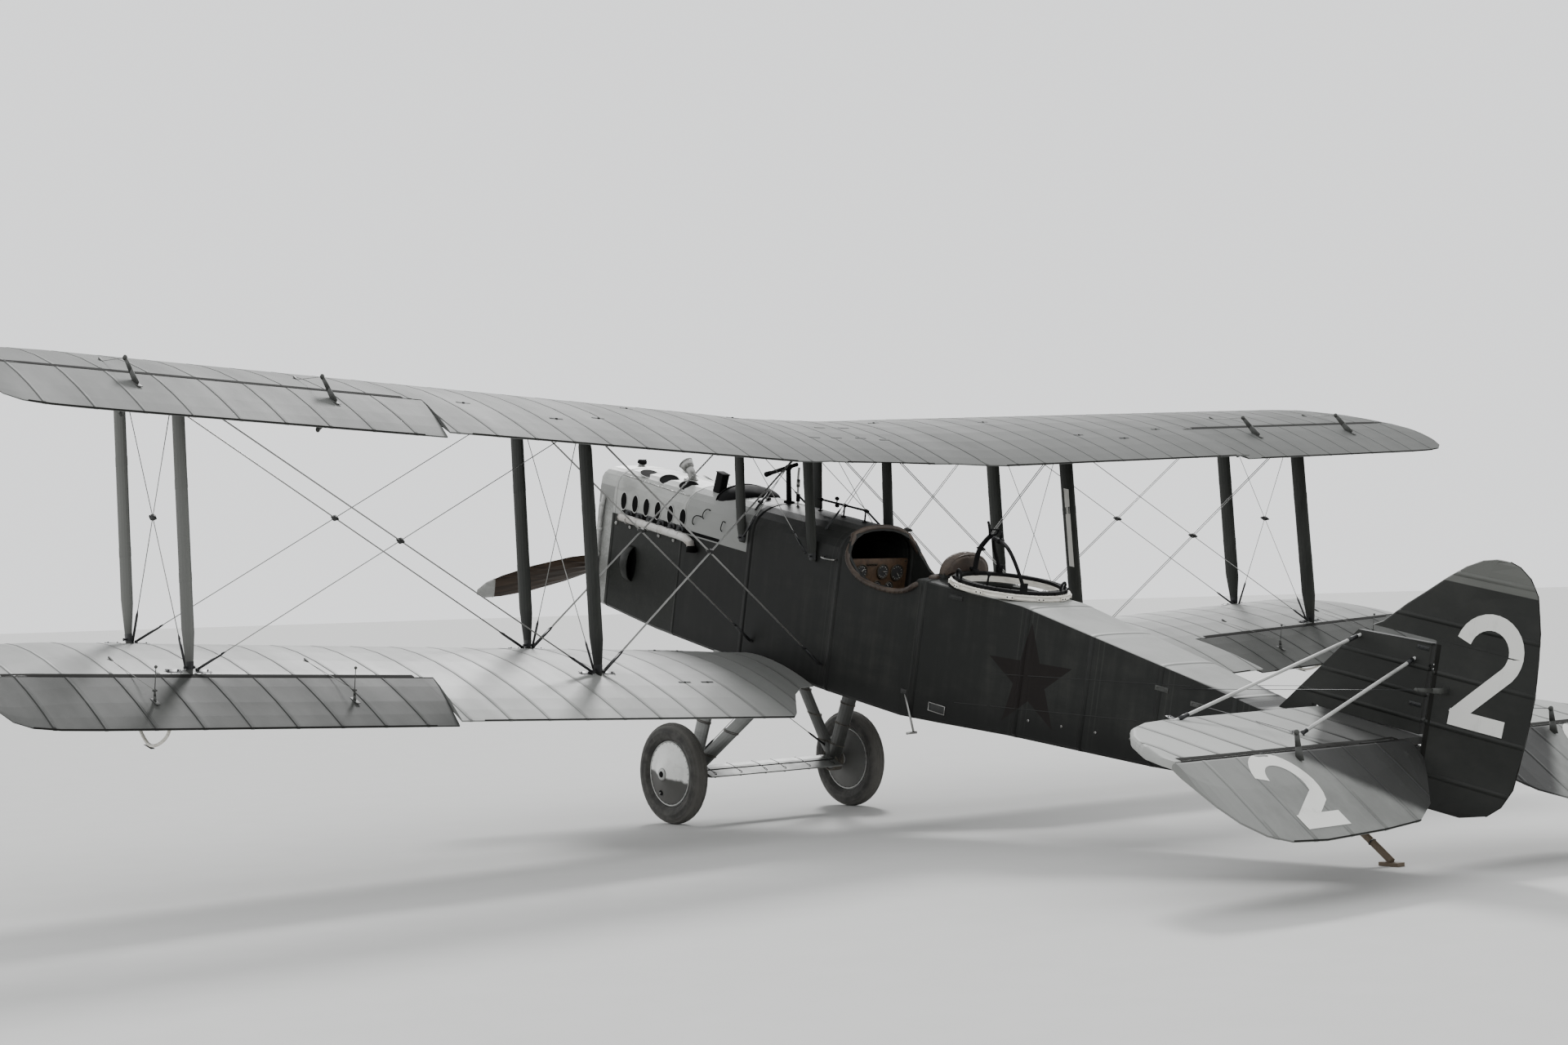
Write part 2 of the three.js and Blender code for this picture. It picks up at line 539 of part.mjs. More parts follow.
const RUDDER = [
  { at: 1345, nose: RUDDER_AXIS_Y - 24, end: 6440 }, { at: 1400, nose: RUDDER_AXIS_Y - 24, end: 6610 },
  { at: 1480, nose: RUDDER_AXIS_Y - 24, end: 6700 }, { at: 1600, nose: RUDDER_AXIS_Y - 24, end: 6760 },
  { at: 1890, nose: RUDDER_AXIS_Y - 24, end: 6796 }, { at: 2150, nose: RUDDER_AXIS_Y - 24, end: 6811 },
  { at: 2362, nose: RUDDER_AXIS_Y - 24, end: 6800 }, { at: 2363, nose: 5640, end: 6800 },
  { at: 2400, nose: 5712, end: 6797 }, { at: 2540, nose: 5862, end: 6782 }, { at: 2640, nose: 5985, end: 6760 },
  { at: 2750, nose: 6115, end: 6732 }, { at: 2840, nose: 6235, end: 6670 }, { at: 2895, nose: 6340, end: 6590 },
  { at: 2915, nose: 6420, end: 6520 },
];
const rudderSlot = box(-30, 30, RUDDER_AXIS_Y - 40, RUDDER_AXIS_Y + 18, 2178, 2218);
const rudder = surface(RUDDER, 24, 6, (z, aft, height) => [height, aft, z]);
add('rudder', cut(rudder, rudderPin(7.5, 2306), rudderSlot), DARK_FABRIC);

// Struts from the fin down to the stabilizer, two on each side
const STABILIZER_TOP = TAIL_Z + TAIL_HALF_THICK;
const TAIL_BRACES = [
  { row: 'front', high: { y: 5572, z: 2285 }, low: { x: 1466, y: 5378 } },
  { row: 'rear', high: { y: 5985, z: 2228 }, low: { x: 888, y: 5856 } },
];
for (const { row, high, low } of TAIL_BRACES) {
  for (const [hand, side] of [['left', 1], ['right', -1]]) {
    const footZ = STABILIZER_TOP - 12;
    const raw = joined(rod([side * 15, high.y, high.z], [side * low.x, low.y, footZ], 11),
      rod([side * (low.x - 32), low.y + 4, footZ], [side * (low.x + 32), low.y - 4, footZ], 18));
    const seated = cut(raw, moved(stabilizer, 0, 0, SEAT_GAP), moved(fin, side * SEAT_GAP, 0, 0));
    add(`tail_brace_${row}_${hand}`, biggest(seated), LIGHT_METAL);
  }
}

// Skid under the tail
const SHOE = { half: 36, fore: 6010, aft: 6150, thick: 24 };   // level with the floor, y along it
const shoe = box(-SHOE.half, SHOE.half, SHOE.fore, SHOE.aft, 0, SHOE.thick).translate(0, 0, -WHEEL_RADIUS)
  .rotateX(GROUND_ANGLE);
const skidLine = [[0, 5480, 1168], [0, 5660, 1118], [0, 5860, 1030], [0, 6020, 951]];
const skidPost = rod([0, 5560, 1150], [0, 5560, 1250], 24);
const skid = joined(bar(skidLine, 24, 12), skidPost, shoe);
add('tail_skid', cut(skid, moved(fuselageBetween(FRONT_END, FUSELAGE.at(-1).y), 0, 0, -SEAT_GAP)), ASH_WOOD);

// Undercarriage
const LEG = { chord: 165, thick: 58, endScale: 0.8, taper: 120 };
const LEG_FOOT_X = 742;
const AXLE_CLEAR = AXLE_RADIUS + SEAT_GAP;
const AXLE_HALF = TRACK / 2 + 88;
const axleCutter = (radius) => rod([-AXLE_HALF, 0, 0], [AXLE_HALF, 0, 0], radius, 16);
for (const [hand, side] of [['left', 1], ['right', -1]]) {
  const foot = [side * LEG_FOOT_X, 0, 0];
  const legs = joined(strut(foot, [side * 350, -300, 930], LEG), strut(foot, [side * 350, 600, 930], LEG),
    moved(new THREE.CylinderGeometry(76, 76, 62, 20).rotateZ(TAU / 4), side * LEG_FOOT_X, 0, 0));
  const seated = cut(legs, axleCutter(AXLE_CLEAR), moved(frontSolid, 0, 0, -SEAT_GAP));
  add(`gear_leg_${hand}`, biggest(seated), LIGHT_METAL);
}
const fairing = loft([-690, 690].map((x) => streamline(-70, 190, 34, 5).map(([aft, z]) => [x, aft, z])));
add('axle', joined(axleCutter(AXLE_RADIUS), fairing), LIGHT_METAL);

// Wheels: a disc-covered wheel with its hub, and the tyre round it
const WHEEL_SIDES = 40;
const wheelProfile = [[26, -82], [52, -82], [56, -58], [240, -26], [262, -30], [262, 30], [240, 26], [56, 58],
  [52, 82], [26, 82], [26, -82]].map(([r, z]) => new THREE.Vector2(r, z));
for (const [hand, side] of [['left', 1], ['right', -1]]) {
  const disc = new THREE.LatheGeometry(wheelProfile, WHEEL_SIDES).rotateZ(TAU / 4);
  add(`wheel_${hand}`, turnedOut(bare(disc)), LIGHT_METAL).position.x = (side * TRACK) / 2;
  const tyreCentre = WHEEL_RADIUS - TYRE_SECTION;
  const section = Array.from({ length: 13 }, (_, k) => {
    const angle = (TAU * k) / 12;
    const r = tyreCentre + TYRE_SECTION * Math.cos(angle);
    return new THREE.Vector2(Math.max(r, 262 + SEAT_GAP), TYRE_SECTION * Math.sin(angle));
  });
  const tyre = new THREE.LatheGeometry(section, WHEEL_SIDES).rotateZ(TAU / 4);
  add(`tyre_${hand}`, turnedOut(bare(tyre)), TYRE_RUBBER).position.x = (side * TRACK) / 2;
}

// Hoop skids under the lower wing tips
for (const [hand, side] of [['left', 1], ['right', -1]]) {
  const skinAt = (part) => wingPoint(LOWER, side * 5760, part, camberAt(part) - halfThicknessAt(part) + 20);
  const [front, back] = [skinAt(0.33), skinAt(0.56)];
  const below = (point, aft, drop) => [point[0], point[1] + aft, point[2] - drop];
  const hoopLine = [front, below(front, 20, 250), below(front, 300, 430), below(back, 160, 260),
    below(back, 50, 90), back];
  const seated = cut(bar(hoopLine, 11, 24), moved(wholeWings[`lower ${hand}`], 0, 0, -SEAT_GAP));
  add(`wing_skid_${hand}`, biggest(seated), ASH_WOOD);
}

// Propeller: boss and two twisted blades
const BLADE = [
  { out: 66, chord: 150, thick: 100, twist: 60 }, { out: 230, chord: 262, thick: 86, twist: 44 },
  { out: 560, chord: 284, thick: 52, twist: 29 }, { out: 930, chord: 262, thick: 32, twist: 20 },
  { out: 1230, chord: 206, thick: 20, twist: 16 }, { out: 1390, chord: 146, thick: 13, twist: 14 },
  { out: PROP.radius, chord: 46, thick: 8, twist: 13 },
];
function blade(sign) {
  return loft(BLADE.map(({ out, chord, thick, twist }) => Array.from({ length: 14 }, (_, k) => {
    const angle = (TAU * k) / 14;
    const flat = (chord / 2) * Math.cos(angle);
    const deep = (thick / 2) * Math.sin(angle);
    const turn = twist * DEG;
    return [sign * out, flat * Math.sin(turn) + deep * Math.cos(turn),
      sign * (flat * Math.cos(turn) - deep * Math.sin(turn))];
  })));
}
const boss = new THREE.CylinderGeometry(105, 105, PROP.boss, 30);
const spigot = moved(new THREE.CylinderGeometry(60, 60, 62, 20), 0, -PROP.boss / 2 - 24, 0);
const propeller = add('propeller', joined(boss, blade(1), blade(-1), spigot), DARK_WOOD);
propeller.position.set(0, PROP.y, PROP.z);
propeller.rotation.y = -PROP.restAngle;
const shaft = rod([0, FUSELAGE[0].y - SEAT_GAP, PROP.z], [0, PROP.y + PROP.boss / 2 + 1, PROP.z], 45, 16);
add('propeller_shaft', shaft, DARK_STEEL);

// The origin is on the floor, under the middle of the parked aircraft
const group = new THREE.Group();
group.add(aircraft);
const bounds = new THREE.Box3().setFromObject(group, true);
aircraft.position.y -= (bounds.min.y + bounds.max.y) / 2;
aircraft.position.z -= bounds.min.z;
export default group;
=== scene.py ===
# Two-seat, two-bay biplane of the mid-1920s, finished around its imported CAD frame.
from math import cos, pi, radians, sin

import bmesh
import bpy
from mathutils import Matrix, Vector
from mathutils.bvhtree import BVHTree


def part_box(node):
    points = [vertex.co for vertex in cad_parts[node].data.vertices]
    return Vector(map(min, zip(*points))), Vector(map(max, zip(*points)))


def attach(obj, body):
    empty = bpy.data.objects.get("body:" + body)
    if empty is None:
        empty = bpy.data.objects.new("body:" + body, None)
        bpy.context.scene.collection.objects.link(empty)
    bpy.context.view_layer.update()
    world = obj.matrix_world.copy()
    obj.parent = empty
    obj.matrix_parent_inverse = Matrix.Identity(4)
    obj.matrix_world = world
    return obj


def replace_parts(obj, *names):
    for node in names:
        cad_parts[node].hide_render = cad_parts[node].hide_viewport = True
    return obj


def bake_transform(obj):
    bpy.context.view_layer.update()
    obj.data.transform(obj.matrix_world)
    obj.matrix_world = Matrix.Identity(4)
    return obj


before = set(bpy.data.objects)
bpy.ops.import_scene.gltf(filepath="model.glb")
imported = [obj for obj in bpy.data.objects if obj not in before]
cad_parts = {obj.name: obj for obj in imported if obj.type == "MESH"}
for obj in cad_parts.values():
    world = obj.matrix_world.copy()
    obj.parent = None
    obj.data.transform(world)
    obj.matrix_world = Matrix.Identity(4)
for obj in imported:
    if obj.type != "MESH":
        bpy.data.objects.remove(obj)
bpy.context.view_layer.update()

# Camera: stands off the port quarter of the tail, at eye height.
# Its place, turn and lens were fitted together with the aircraft's own lines.
AXLE_Y, WHEEL_RADIUS, TAIL_DOWN = -2.54822, 0.4, radians(12.49)
moved = Matrix.Translation
parked = moved((0, AXLE_Y, WHEEL_RADIUS)) @ Matrix.Rotation(-TAIL_DOWN, 4, 'X')
CAMERA_PLACE = (11.8791, 14.6301 + AXLE_Y, 1.7285)
CAMERA_YAW, CAMERA_PITCH, CAMERA_ROLL = radians(-39.7404), radians(1.9908), radians(-1.696)
FOCAL_LENGTH, FILM_WIDTH, SIGHT = 52.704, 36, 1500
ahead = Vector((sin(CAMERA_YAW) * cos(CAMERA_PITCH), -cos(CAMERA_YAW) * cos(CAMERA_PITCH), sin(CAMERA_PITCH)))
level = Vector((-cos(CAMERA_YAW), -sin(CAMERA_YAW), 0))
upright = level.cross(ahead)
rightward = level * cos(CAMERA_ROLL) + upright * sin(CAMERA_ROLL)
upward = upright * cos(CAMERA_ROLL) - level * sin(CAMERA_ROLL)
lens = bpy.data.cameras.new('camera')
lens.lens, lens.sensor_width, lens.sensor_fit, lens.clip_end = FOCAL_LENGTH, FILM_WIDTH, 'HORIZONTAL', SIGHT
camera = bpy.data.objects.new('camera', lens)
camera.matrix_world = moved(CAMERA_PLACE) @ Matrix(
    [rightward, upward, -ahead]).transposed().to_4x4()
bpy.context.collection.objects.link(camera)
bpy.context.scene.camera = camera

# Light: a wide soft sun from ahead and to starboard, so the tops are bright and the port side
# is in soft shade, with an even pale surround that fills the shadows.
SUN_FROM = Vector((-0.57, -0.67, 0.70))
SUN_STRENGTH, SUN_SOFTNESS, SURROUND = 2.75, radians(11), 1.55
sun_data = bpy.data.lights.new('soft_sun', 'SUN')
sun_data.energy, sun_data.angle = SUN_STRENGTH, SUN_SOFTNESS
sun = bpy.data.objects.new('soft_sun', sun_data)
sun.rotation_euler = SUN_FROM.to_track_quat('Z', 'Y').to_euler()
bpy.context.collection.objects.link(sun)
world = bpy.data.worlds.new('surround')
world.use_nodes = True
world.node_tree.nodes['Background'].inputs['Color'].default_value = (0.93, 0.94, 0.95, 1)
world.node_tree.nodes['Background'].inputs['Strength'].default_value = SURROUND
bpy.context.scene.world = world


# Floor: one plain pale sheet, level with the tyres' undersides and the tail skid's shoe.
# The finish tools below are used for every material after it.
class Tone:
    """One value or colour in a finish. Used in a sum, it adds the Math nodes for that sum."""

    def __init__(self, finish, socket):
        self.finish, self.socket = finish, socket

    def maths(self, operation, *values):
        return self.finish.node('Math', {'operation': operation}, values)

    def __add__(self, other): return self.maths('ADD', self, other)
    def __sub__(self, other): return self.maths('SUBTRACT', self, other)
    def __rsub__(self, other): return self.maths('SUBTRACT', other, self)
    def __mul__(self, other): return self.maths('MULTIPLY', self, other)
    def __truediv__(self, other): return self.maths('DIVIDE', self, other)
    def __abs__(self): return self.maths('ABSOLUTE', self)
    def fract(self): return self.maths('FRACT', self)
    __radd__, __rmul__ = __add__, __mul__


class Finish:
    """A material, whose nodes are all made by one method."""

    def __init__(self, name, **constants):
        self.material = bpy.data.materials.new(name)
        self.material.use_nodes = True
        self.tree = self.material.node_tree
        self.shader = self.tree.nodes['Principled BSDF']
        for socket, value in constants.items():
            self.shader.inputs[socket.replace('_', ' ')].default_value = value

    def node(self, kind, settings, inputs, output=0):
        made = self.tree.nodes.new('ShaderNode' + kind)
        for key, value in settings.items():
            setattr(made, key, value)
        for socket, value in inputs.items() if isinstance(inputs, dict) else enumerate(inputs):
            if isinstance(value, Tone):
                self.tree.links.new(value.socket, made.inputs[socket])
            else:
                made.inputs[socket].default_value = value
        return Tone(self, made.outputs[output])

    def place(self, scale=(1, 1, 1)):
        """Object coordinates in the level aircraft's own axes: port, aft and up from the axle."""
        back = parked.inverted()
        here = self.node('TexCoord', {}, (), 'Object')
        square = self.node('Mapping', {}, {
            'Vector': here, 'Location': back.to_translation(), 'Rotation': back.to_euler()})
        if scale == (1, 1, 1):
            return square
        return self.node('VectorMath', {'operation': 'MULTIPLY'}, {0: square, 1: scale})

    def axes(self, place):
        split = self.node('SeparateXYZ', {}, (place,))
        return [Tone(self, split.socket.node.outputs[k]) for k in range(3)]

    def noise(self, place, scale, detail=3.0, roughness=0.55):
        return self.node('TexNoise', {}, {
            'Vector': place, 'Scale': scale, 'Detail': detail, 'Roughness': roughness})

    def ease(self, value, low, high):
        return self.node('MapRange', {'interpolation_type': 'SMOOTHSTEP'}, (value, low, high, 0.0, 1.0))

    def mix(self, mask, first, second):
        first, second = [(*c, 1) if isinstance(c, tuple) and len(c) == 3 else c for c in (first, second)]
        return self.node('Mix', {'data_type': 'RGBA'}, {0: mask, 6: first, 7: second}, 2)

    def apply(self, colour=None, roughness=None, height=None, depth=0.001, **others):
        """Links what varies to the shader; height is in parts of depth, in metres."""
        linked = {'Base Color': colour, 'Roughness': roughness}
        linked.update({socket.replace('_', ' '): value for socket, value in others.items()})
        if height is not None:
            linked['Normal'] = self.node('Bump', {}, {'Strength': 1.0, 'Distance': depth, 'Height': height})
        for socket, value in linked.items():
            if value is not None:
                self.tree.links.new(value.socket, self.shader.inputs[socket])
        return self.material


def placed(name, shape, material, body='airframe', smooth=True, transform=parked):
    """Makes the finished object of a bmesh in the level aircraft's axes, with its place in its mesh."""
    shape.transform(transform)
    for face in shape.faces:
        face.smooth = smooth
    mesh = bpy.data.meshes.new(name)
    shape.to_mesh(mesh)
    shape.free()
    piece = bpy.data.objects.new(name, mesh)
    bpy.context.collection.objects.link(piece)
    mesh.materials.append(material)
    if body:
        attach(piece, body)
    return piece


FLOOR_SIZE = 900
ground = bmesh.new()
bmesh.ops.create_grid(ground, x_segments=1, y_segments=1, size=FLOOR_SIZE / 2)
ground_finish = Finish('pale_floor', Roughness=0.9)
speck = ground_finish.noise(ground_finish.place(), 3.0)
pale_floor = ground_finish.apply(ground_finish.mix(speck, (0.46, 0.46, 0.45), (0.50, 0.50, 0.49)))
placed('floor', ground, pale_floor, body=None, transform=Matrix())


# Wing, aileron and tail covering: linen laced over ribs, brushed tight with silver-grey dope.
# It sags a little between the ribs, and rain and hands have marked it.
RIB_PITCH, FIRST_RIB, WEAVE = 0.307, 0.60, 620.0
SILVER, SILVER_WORN = (0.265, 0.27, 0.26), (0.20, 0.205, 0.195)
HIGH_SILVER, HIGH_WORN = (0.130, 0.133, 0.128), (0.096, 0.099, 0.095)
# The lower ailerons' grey is a darker copy of the wing's silver: painted shade.
AILERON_GREY, AILERON_WORN = (0.070, 0.072, 0.068), (0.048, 0.050, 0.047)


def doped_linen(name, clean, worn, sag=0.004, stretch=(1, 1, 1), shine=0.4, tape_edge_shade_and_dirt=0.5, painted_shade=False):
    linen = Finish(name, Specular_IOR_Level=shine, Coat_Weight=shine * 0.3, Coat_Roughness=0.35)
    here = linen.place()
    axes = linen.axes(here)
    step = (abs(axes[0]) - FIRST_RIB) / RIB_PITCH
    part = step.fract()
    from_middle = abs(part - 0.5)
    hollow = from_middle * from_middle * 4
    edge = linen.ease(from_middle, 0.5 - 0.026 / RIB_PITCH, 0.5 - 0.016 / RIB_PITCH)
    weather = linen.noise(linen.place(stretch), 1.3, 5.0, 0.6)
    patches = linen.noise(here, 0.45, 2.0)
    spots = linen.ease(linen.noise(here, 9.0, 4.0, 0.7), 0.62, 0.75)
    weave = linen.noise(here, WEAVE, 1.0)
    # Along each rib tape's edges the linen is pushed to its worn and darker tones: partly dirt, partly painted
    # shade of the cover's sag beside the rib.
    wear = linen.ease(weather * 0.7 + patches * 0.5 + (edge - edge * edge) * tape_edge_shade_and_dirt * 2.8, 0.42, 0.86)
    colour = linen.mix(wear, clean, worn)
    grime_and_shade = tuple(c * 0.55 for c in worn)
    # The linen is darker towards the roots.
    darker_toward_roots = linen.ease(abs(axes[0]) + weather * 0.8, 3.6, 0.9)
    colour = linen.mix(darker_toward_roots * 0.42, colour, grime_and_shade)
    colour = linen.mix(spots * 0.28 + (edge - edge * edge) * tape_edge_shade_and_dirt, colour, grime_and_shade)
    # With this flag set, the linen is darkened inboard behind a slanted line: a painted shadow of the fin and
    # rudder.
    if painted_shade:
        inward = axes[1] * 1.375 - 7.306 - abs(axes[0]) + (weather - 0.5) * 0.12
        colour = linen.mix(linen.ease(inward, -0.06, 0.10) * 0.85, colour, tuple(c * 0.04 for c in clean))
    return linen.apply(colour, 0.50 + weather * 0.22, hollow + weave * 0.07 + weather * 0.12, sag)


def finish_nodes(material, *nodes):
    for node in nodes:
        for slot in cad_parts[node].material_slots:
            slot.material = material


SIDES = (('left', 1), ('right', -1))
silver_linen = doped_linen('silver_doped_linen', SILVER, SILVER_WORN, stretch=(2.2, 0.5, 1))
high_linen = doped_linen('upper_wing_linen', HIGH_SILVER, HIGH_WORN, 0.002, (2.2, 0.5, 1), 0.06, 0.1)
# The lower ailerons' linen is toned darker than the wing's: painted shade.
aileron_linen = doped_linen('aileron_linen', AILERON_GREY, AILERON_WORN, stretch=(2.2, 0.7, 1), shine=0.06)
finish_nodes(silver_linen, 'lower_wing_left', 'lower_wing_right')
# The stabilizer's linen and its tapes carry a painted shadow of the fin and rudder on their inner parts.
finish_nodes(doped_linen('stabilizer_linen', (0.410, 0.416, 0.402), (0.320, 0.326, 0.313),
                         stretch=(2.2, 0.5, 1), shine=0.06, painted_shade=True), 'stabilizer')
finish_nodes(high_linen, 'upper_wing_center', 'upper_wing_left', 'upper_wing_right',
             'upper_aileron_left', 'upper_aileron_right')
finish_nodes(aileron_linen, 'lower_aileron_left', 'lower_aileron_right')


# Rib tapes: frayed-edge linen strips doped down over each rib's stitching, on both skins and
# round the nose. Each is cut from the shape of the surface that it lies on.
TAPE_WIDTH, TAPE_PROUD = 0.024, 0.0012
AILERON_FROM, TIP_FROM = 4.0, 6.85


def corners_of(node):
    return [parked.inverted() @ vert.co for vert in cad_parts[node].data.vertices]


def shape_of(node, weld=True):
    """A CAD node's skin as a bmesh, in the level aircraft's axes."""
    shape = bmesh.new()
    shape.from_mesh(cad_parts[node].data)
    if weld:
        bmesh.ops.remove_doubles(shape, verts=shape.verts, dist=1e-5)
    shape.transform(parked.inverted())
    return shape


def cut(shape, spot, way, **clear):
    bmesh.ops.bisect_plane(shape, geom=shape.verts[:] + shape.edges[:] + shape.faces[:], dist=1e-6,
                           plane_co=spot, plane_no=way, **clear)


def join(part, shape):
    """Adds a part to a shape, and frees the part."""
    mesh = bpy.data.meshes.new('part')
    part.to_mesh(mesh)
    part.free()
    shape.from_mesh(mesh)
    bpy.data.meshes.remove(mesh)


def taped(name, node, body, stations, material, across=0, width=TAPE_WIDTH):
    whole = shape_of(node)
    along = Vector([float(k == across) for k in range(3)])
    tapes = bmesh.new()
    for station in stations:
        strip = whole.copy()
        for side in (-1, 1):
            cut(strip, along * (station + side * width / 2), along * side, clear_outer=True)
        ends = [face for face in strip.faces if abs(face.normal[across]) > 0.6]
        bmesh.ops.delete(strip, geom=ends, context='FACES')
        lifts = [(vert, vert.normal.copy()) for vert in strip.verts]
        for vert, lift in lifts:
            vert.co += lift * TAPE_PROUD
        join(strip, tapes)
    whole.free()
    piece = placed(name, tapes, material, body)
    wall = piece.modifiers.new('thickness', 'SOLIDIFY')
    wall.thickness, wall.offset = TAPE_PROUD * 0.7, -1
    return piece


def tape_linen(name, clean, worn, shine=0.06, painted_shade=False):
    """The same doped linen in narrow strips."""
    return doped_linen(name, clean, worn, sag=0.001, stretch=(9, 3, 9), shine=shine, painted_shade=painted_shade)


# The tapes on the lower wings, the lower ailerons and the stabilizer are toned darker than the linen under
# them: painted shade for the dark line at each rib.
tape_finish = tape_linen('doped_tape', (0.200, 0.204, 0.196), (0.140, 0.143, 0.138), 0.4)
tape_high = tape_linen('doped_tape_upper', (0.123, 0.126, 0.121), (0.092, 0.095, 0.091))
tape_grey = tape_linen('doped_tape_grey', (0.049, 0.051, 0.048), (0.034, 0.035, 0.033))
tape_tail = tape_linen('stabilizer_tape', (0.280, 0.285, 0.275), (0.200, 0.204, 0.196), painted_shade=True)
ribs = [FIRST_RIB + RIB_PITCH * k for k in range(22)]
for deck in ('upper', 'lower'):
    for hand, side in SIDES:
        taped(f'{deck}_wing_tapes_{hand}', f'{deck}_wing_{hand}', 'airframe',
              [side * x for x in ribs if x < TIP_FROM],
              tape_high if deck == 'upper' else tape_finish)
        taped(f'{deck}_aileron_tapes_{hand}', f'{deck}_aileron_{hand}', f'{deck}_aileron_{hand}',
              [side * x for x in ribs if AILERON_FROM < x < TIP_FROM],
              tape_high if deck == 'upper' else tape_grey)
taped('center_section_tapes', 'upper_wing_center', 'airframe', (-0.4, -0.15, 0.15, 0.4),
      tape_high)
taped('stabilizer_tapes', 'stabilizer', 'airframe',
      [side * (0.30 + RIB_PITCH * k) for side in (1, -1) for k in range(7)],
      tape_tail, width=0.03)


# Fuselage: ply-skinned back to the second cockpit and linen-covered over stringers behind it,
# painted dark on the sides, with a silver deck from the observer's ring to the fin.
# A plain dull star lies half lost in the dark paint of each side.
DARK_PAINT, DARK_WORN = (0.0145, 0.0155, 0.0145), (0.030, 0.031, 0.028)
STAR = dict(y=3.11, z=1.445, reach=0.40, lean=radians(5), paint=(0.0065, 0.0040, 0.0036))
STRINGER_PITCH, FORMER_PITCH, DECK_FROM = 0.148, 0.61, 2.30


def painted_fuselage(name, nose_light=False, former=FORMER_PITCH, hollow=0.005):
    paint = Finish(name, Specular_IOR_Level=0.17, Coat_Weight=0.02, Coat_Roughness=0.3)
    here = paint.place()
    x, y, z = paint.axes(here)
    bay = ((y + 3) / former).fract()
    between = abs(bay - 0.5)
    stringer = (z / STRINGER_PITCH).fract()
    ridge = abs(stringer - 0.5)
    weather = paint.noise(paint.place((1, 0.7, 2.2)), 1.6, 6.0, 0.62)
    drips = paint.noise(paint.place((5.0, 5.0, 0.7)), 2.0, 4.0, 0.6)
    weave = paint.noise(here, WEAVE, 1.0)
    joint = paint.ease(between, 0.5 - 0.030 / former, 0.5 - 0.014 / former)
    colour = paint.mix(paint.ease(weather * 0.6 + drips * 0.4, 0.42, 0.72), DARK_PAINT, DARK_WORN)
    colour = paint.mix((joint - joint * joint) * 1.2, colour, tuple(c * 1.7 for c in DARK_WORN))
    # Darker low down towards the keel and towards the nose: partly oil, partly painted shade.
    above_keel = z - y.maths('MAXIMUM', y - 1.5, 0.0) * 0.088 - 0.89
    oil_and_shade = above_keel.maths('MAXIMUM', paint.ease(above_keel + weather * 0.2, 0.50, 0.08),
                            paint.ease(y + weather * 0.3, 1.0, -0.2) * 0.6)
    colour = paint.mix(oil_and_shade * 0.8, colour, (0.0030, 0.0033, 0.0030))
    away_y, away_z = y - STAR['y'], z - STAR['z']
    out = away_y.maths('SQRT', away_y * away_y + away_z * away_z)
    turn = away_y.maths('ARCTAN2', away_y, away_z) + (STAR['lean'] + 2 * pi)
    sector = abs(turn.maths('MODULO', turn + pi / 5, 2 * pi / 5) - pi / 5)
    point_along, point_side = out * sector.maths('COSINE', sector), out * sector.maths('SINE', sector)
    waist = Vector((cos(pi / 5), sin(pi / 5))) * STAR['reach'] * 0.382
    inside = (point_along - STAR['reach']) * waist.y - point_side * (waist.x - STAR['reach'])
    star = paint.ease(inside, 0.0004, -0.0004) * paint.ease(abs(away_y), 0.5, 0.49)
    colour = paint.mix(star * 0.85, colour, STAR['paint'])
    slope = y.maths('MAXIMUM', y - 2.96, 0.0) * -0.1165
    longeron = slope.maths('MAXIMUM', slope + 1.935, 1.692)
    deck = paint.ease(z - longeron, 0.000, 0.004) * paint.ease(y, DECK_FROM, DECK_FROM + 0.01)
    silver = paint.mix(paint.ease(weather, 0.4, 0.8), SILVER, SILVER_WORN)
    if nose_light:
        deck = deck.maths('MAXIMUM', deck, paint.ease(z, 1.765, 1.769) * paint.ease(y, -0.06, -0.07))
    colour = paint.mix(deck, colour, silver)
    sag = between * between * 4 * hollow / 0.005 + ridge * ridge * 0.5 * (1 if former == FORMER_PITCH else 0)
    return paint.apply(colour, 0.46 + weather * 0.25, sag + weave * 0.06 + weather * 0.1, 0.005)


painted_ply = painted_fuselage('painted_ply', nose_light=True, former=1.0, hollow=0.001)
painted_linen = painted_fuselage('painted_fuselage_linen')
finish_nodes(painted_ply, 'fuselage_front')
finish_nodes(painted_linen, 'fuselage_rear')


def dark_paint_finish(name, clean=DARK_PAINT, worn=(0.060, 0.061, 0.055), scale=3.0, metal=0.0, rough=0.42,
                      shine=0.5):
    """Brushed dark paint over wood or metal, rubbed paler where hands and weather reach it."""
    paint = Finish(name, Specular_IOR_Level=shine, Metallic=metal)
    here = paint.place()
    weather = paint.noise(here, scale, 6.0, 0.65)
    brush = paint.noise(paint.place((40, 40, 1.5)), 4.0, 3.0)
    rub = paint.ease(weather * 0.75 + brush * 0.25, 0.52, 0.74)
    return paint.apply(paint.mix(rub, clean, worn), 0.16 + rough + weather * 0.2 - rub * 0.1,
                       brush * 0.6 + weather, 0.0006)


dark_painted = dark_paint_finish('dark_painted_wood')
black_metal = dark_paint_finish('black_enamel', (0.016, 0.017, 0.018), (0.055, 0.055, 0.055), 8.0, 0.3, 0.18)
bare_steel = dark_paint_finish('bare_steel', (0.32, 0.32, 0.31), (0.20, 0.19, 0.17), 14.0, 0.9, 0.12)
# Near-black for the insides of openings: painted shade.
hole_black = dark_paint_finish('deep_opening', (0.003, 0.003, 0.003), (0.006, 0.006, 0.006),
                               8.0, 0.0, 0.5, 0.05)


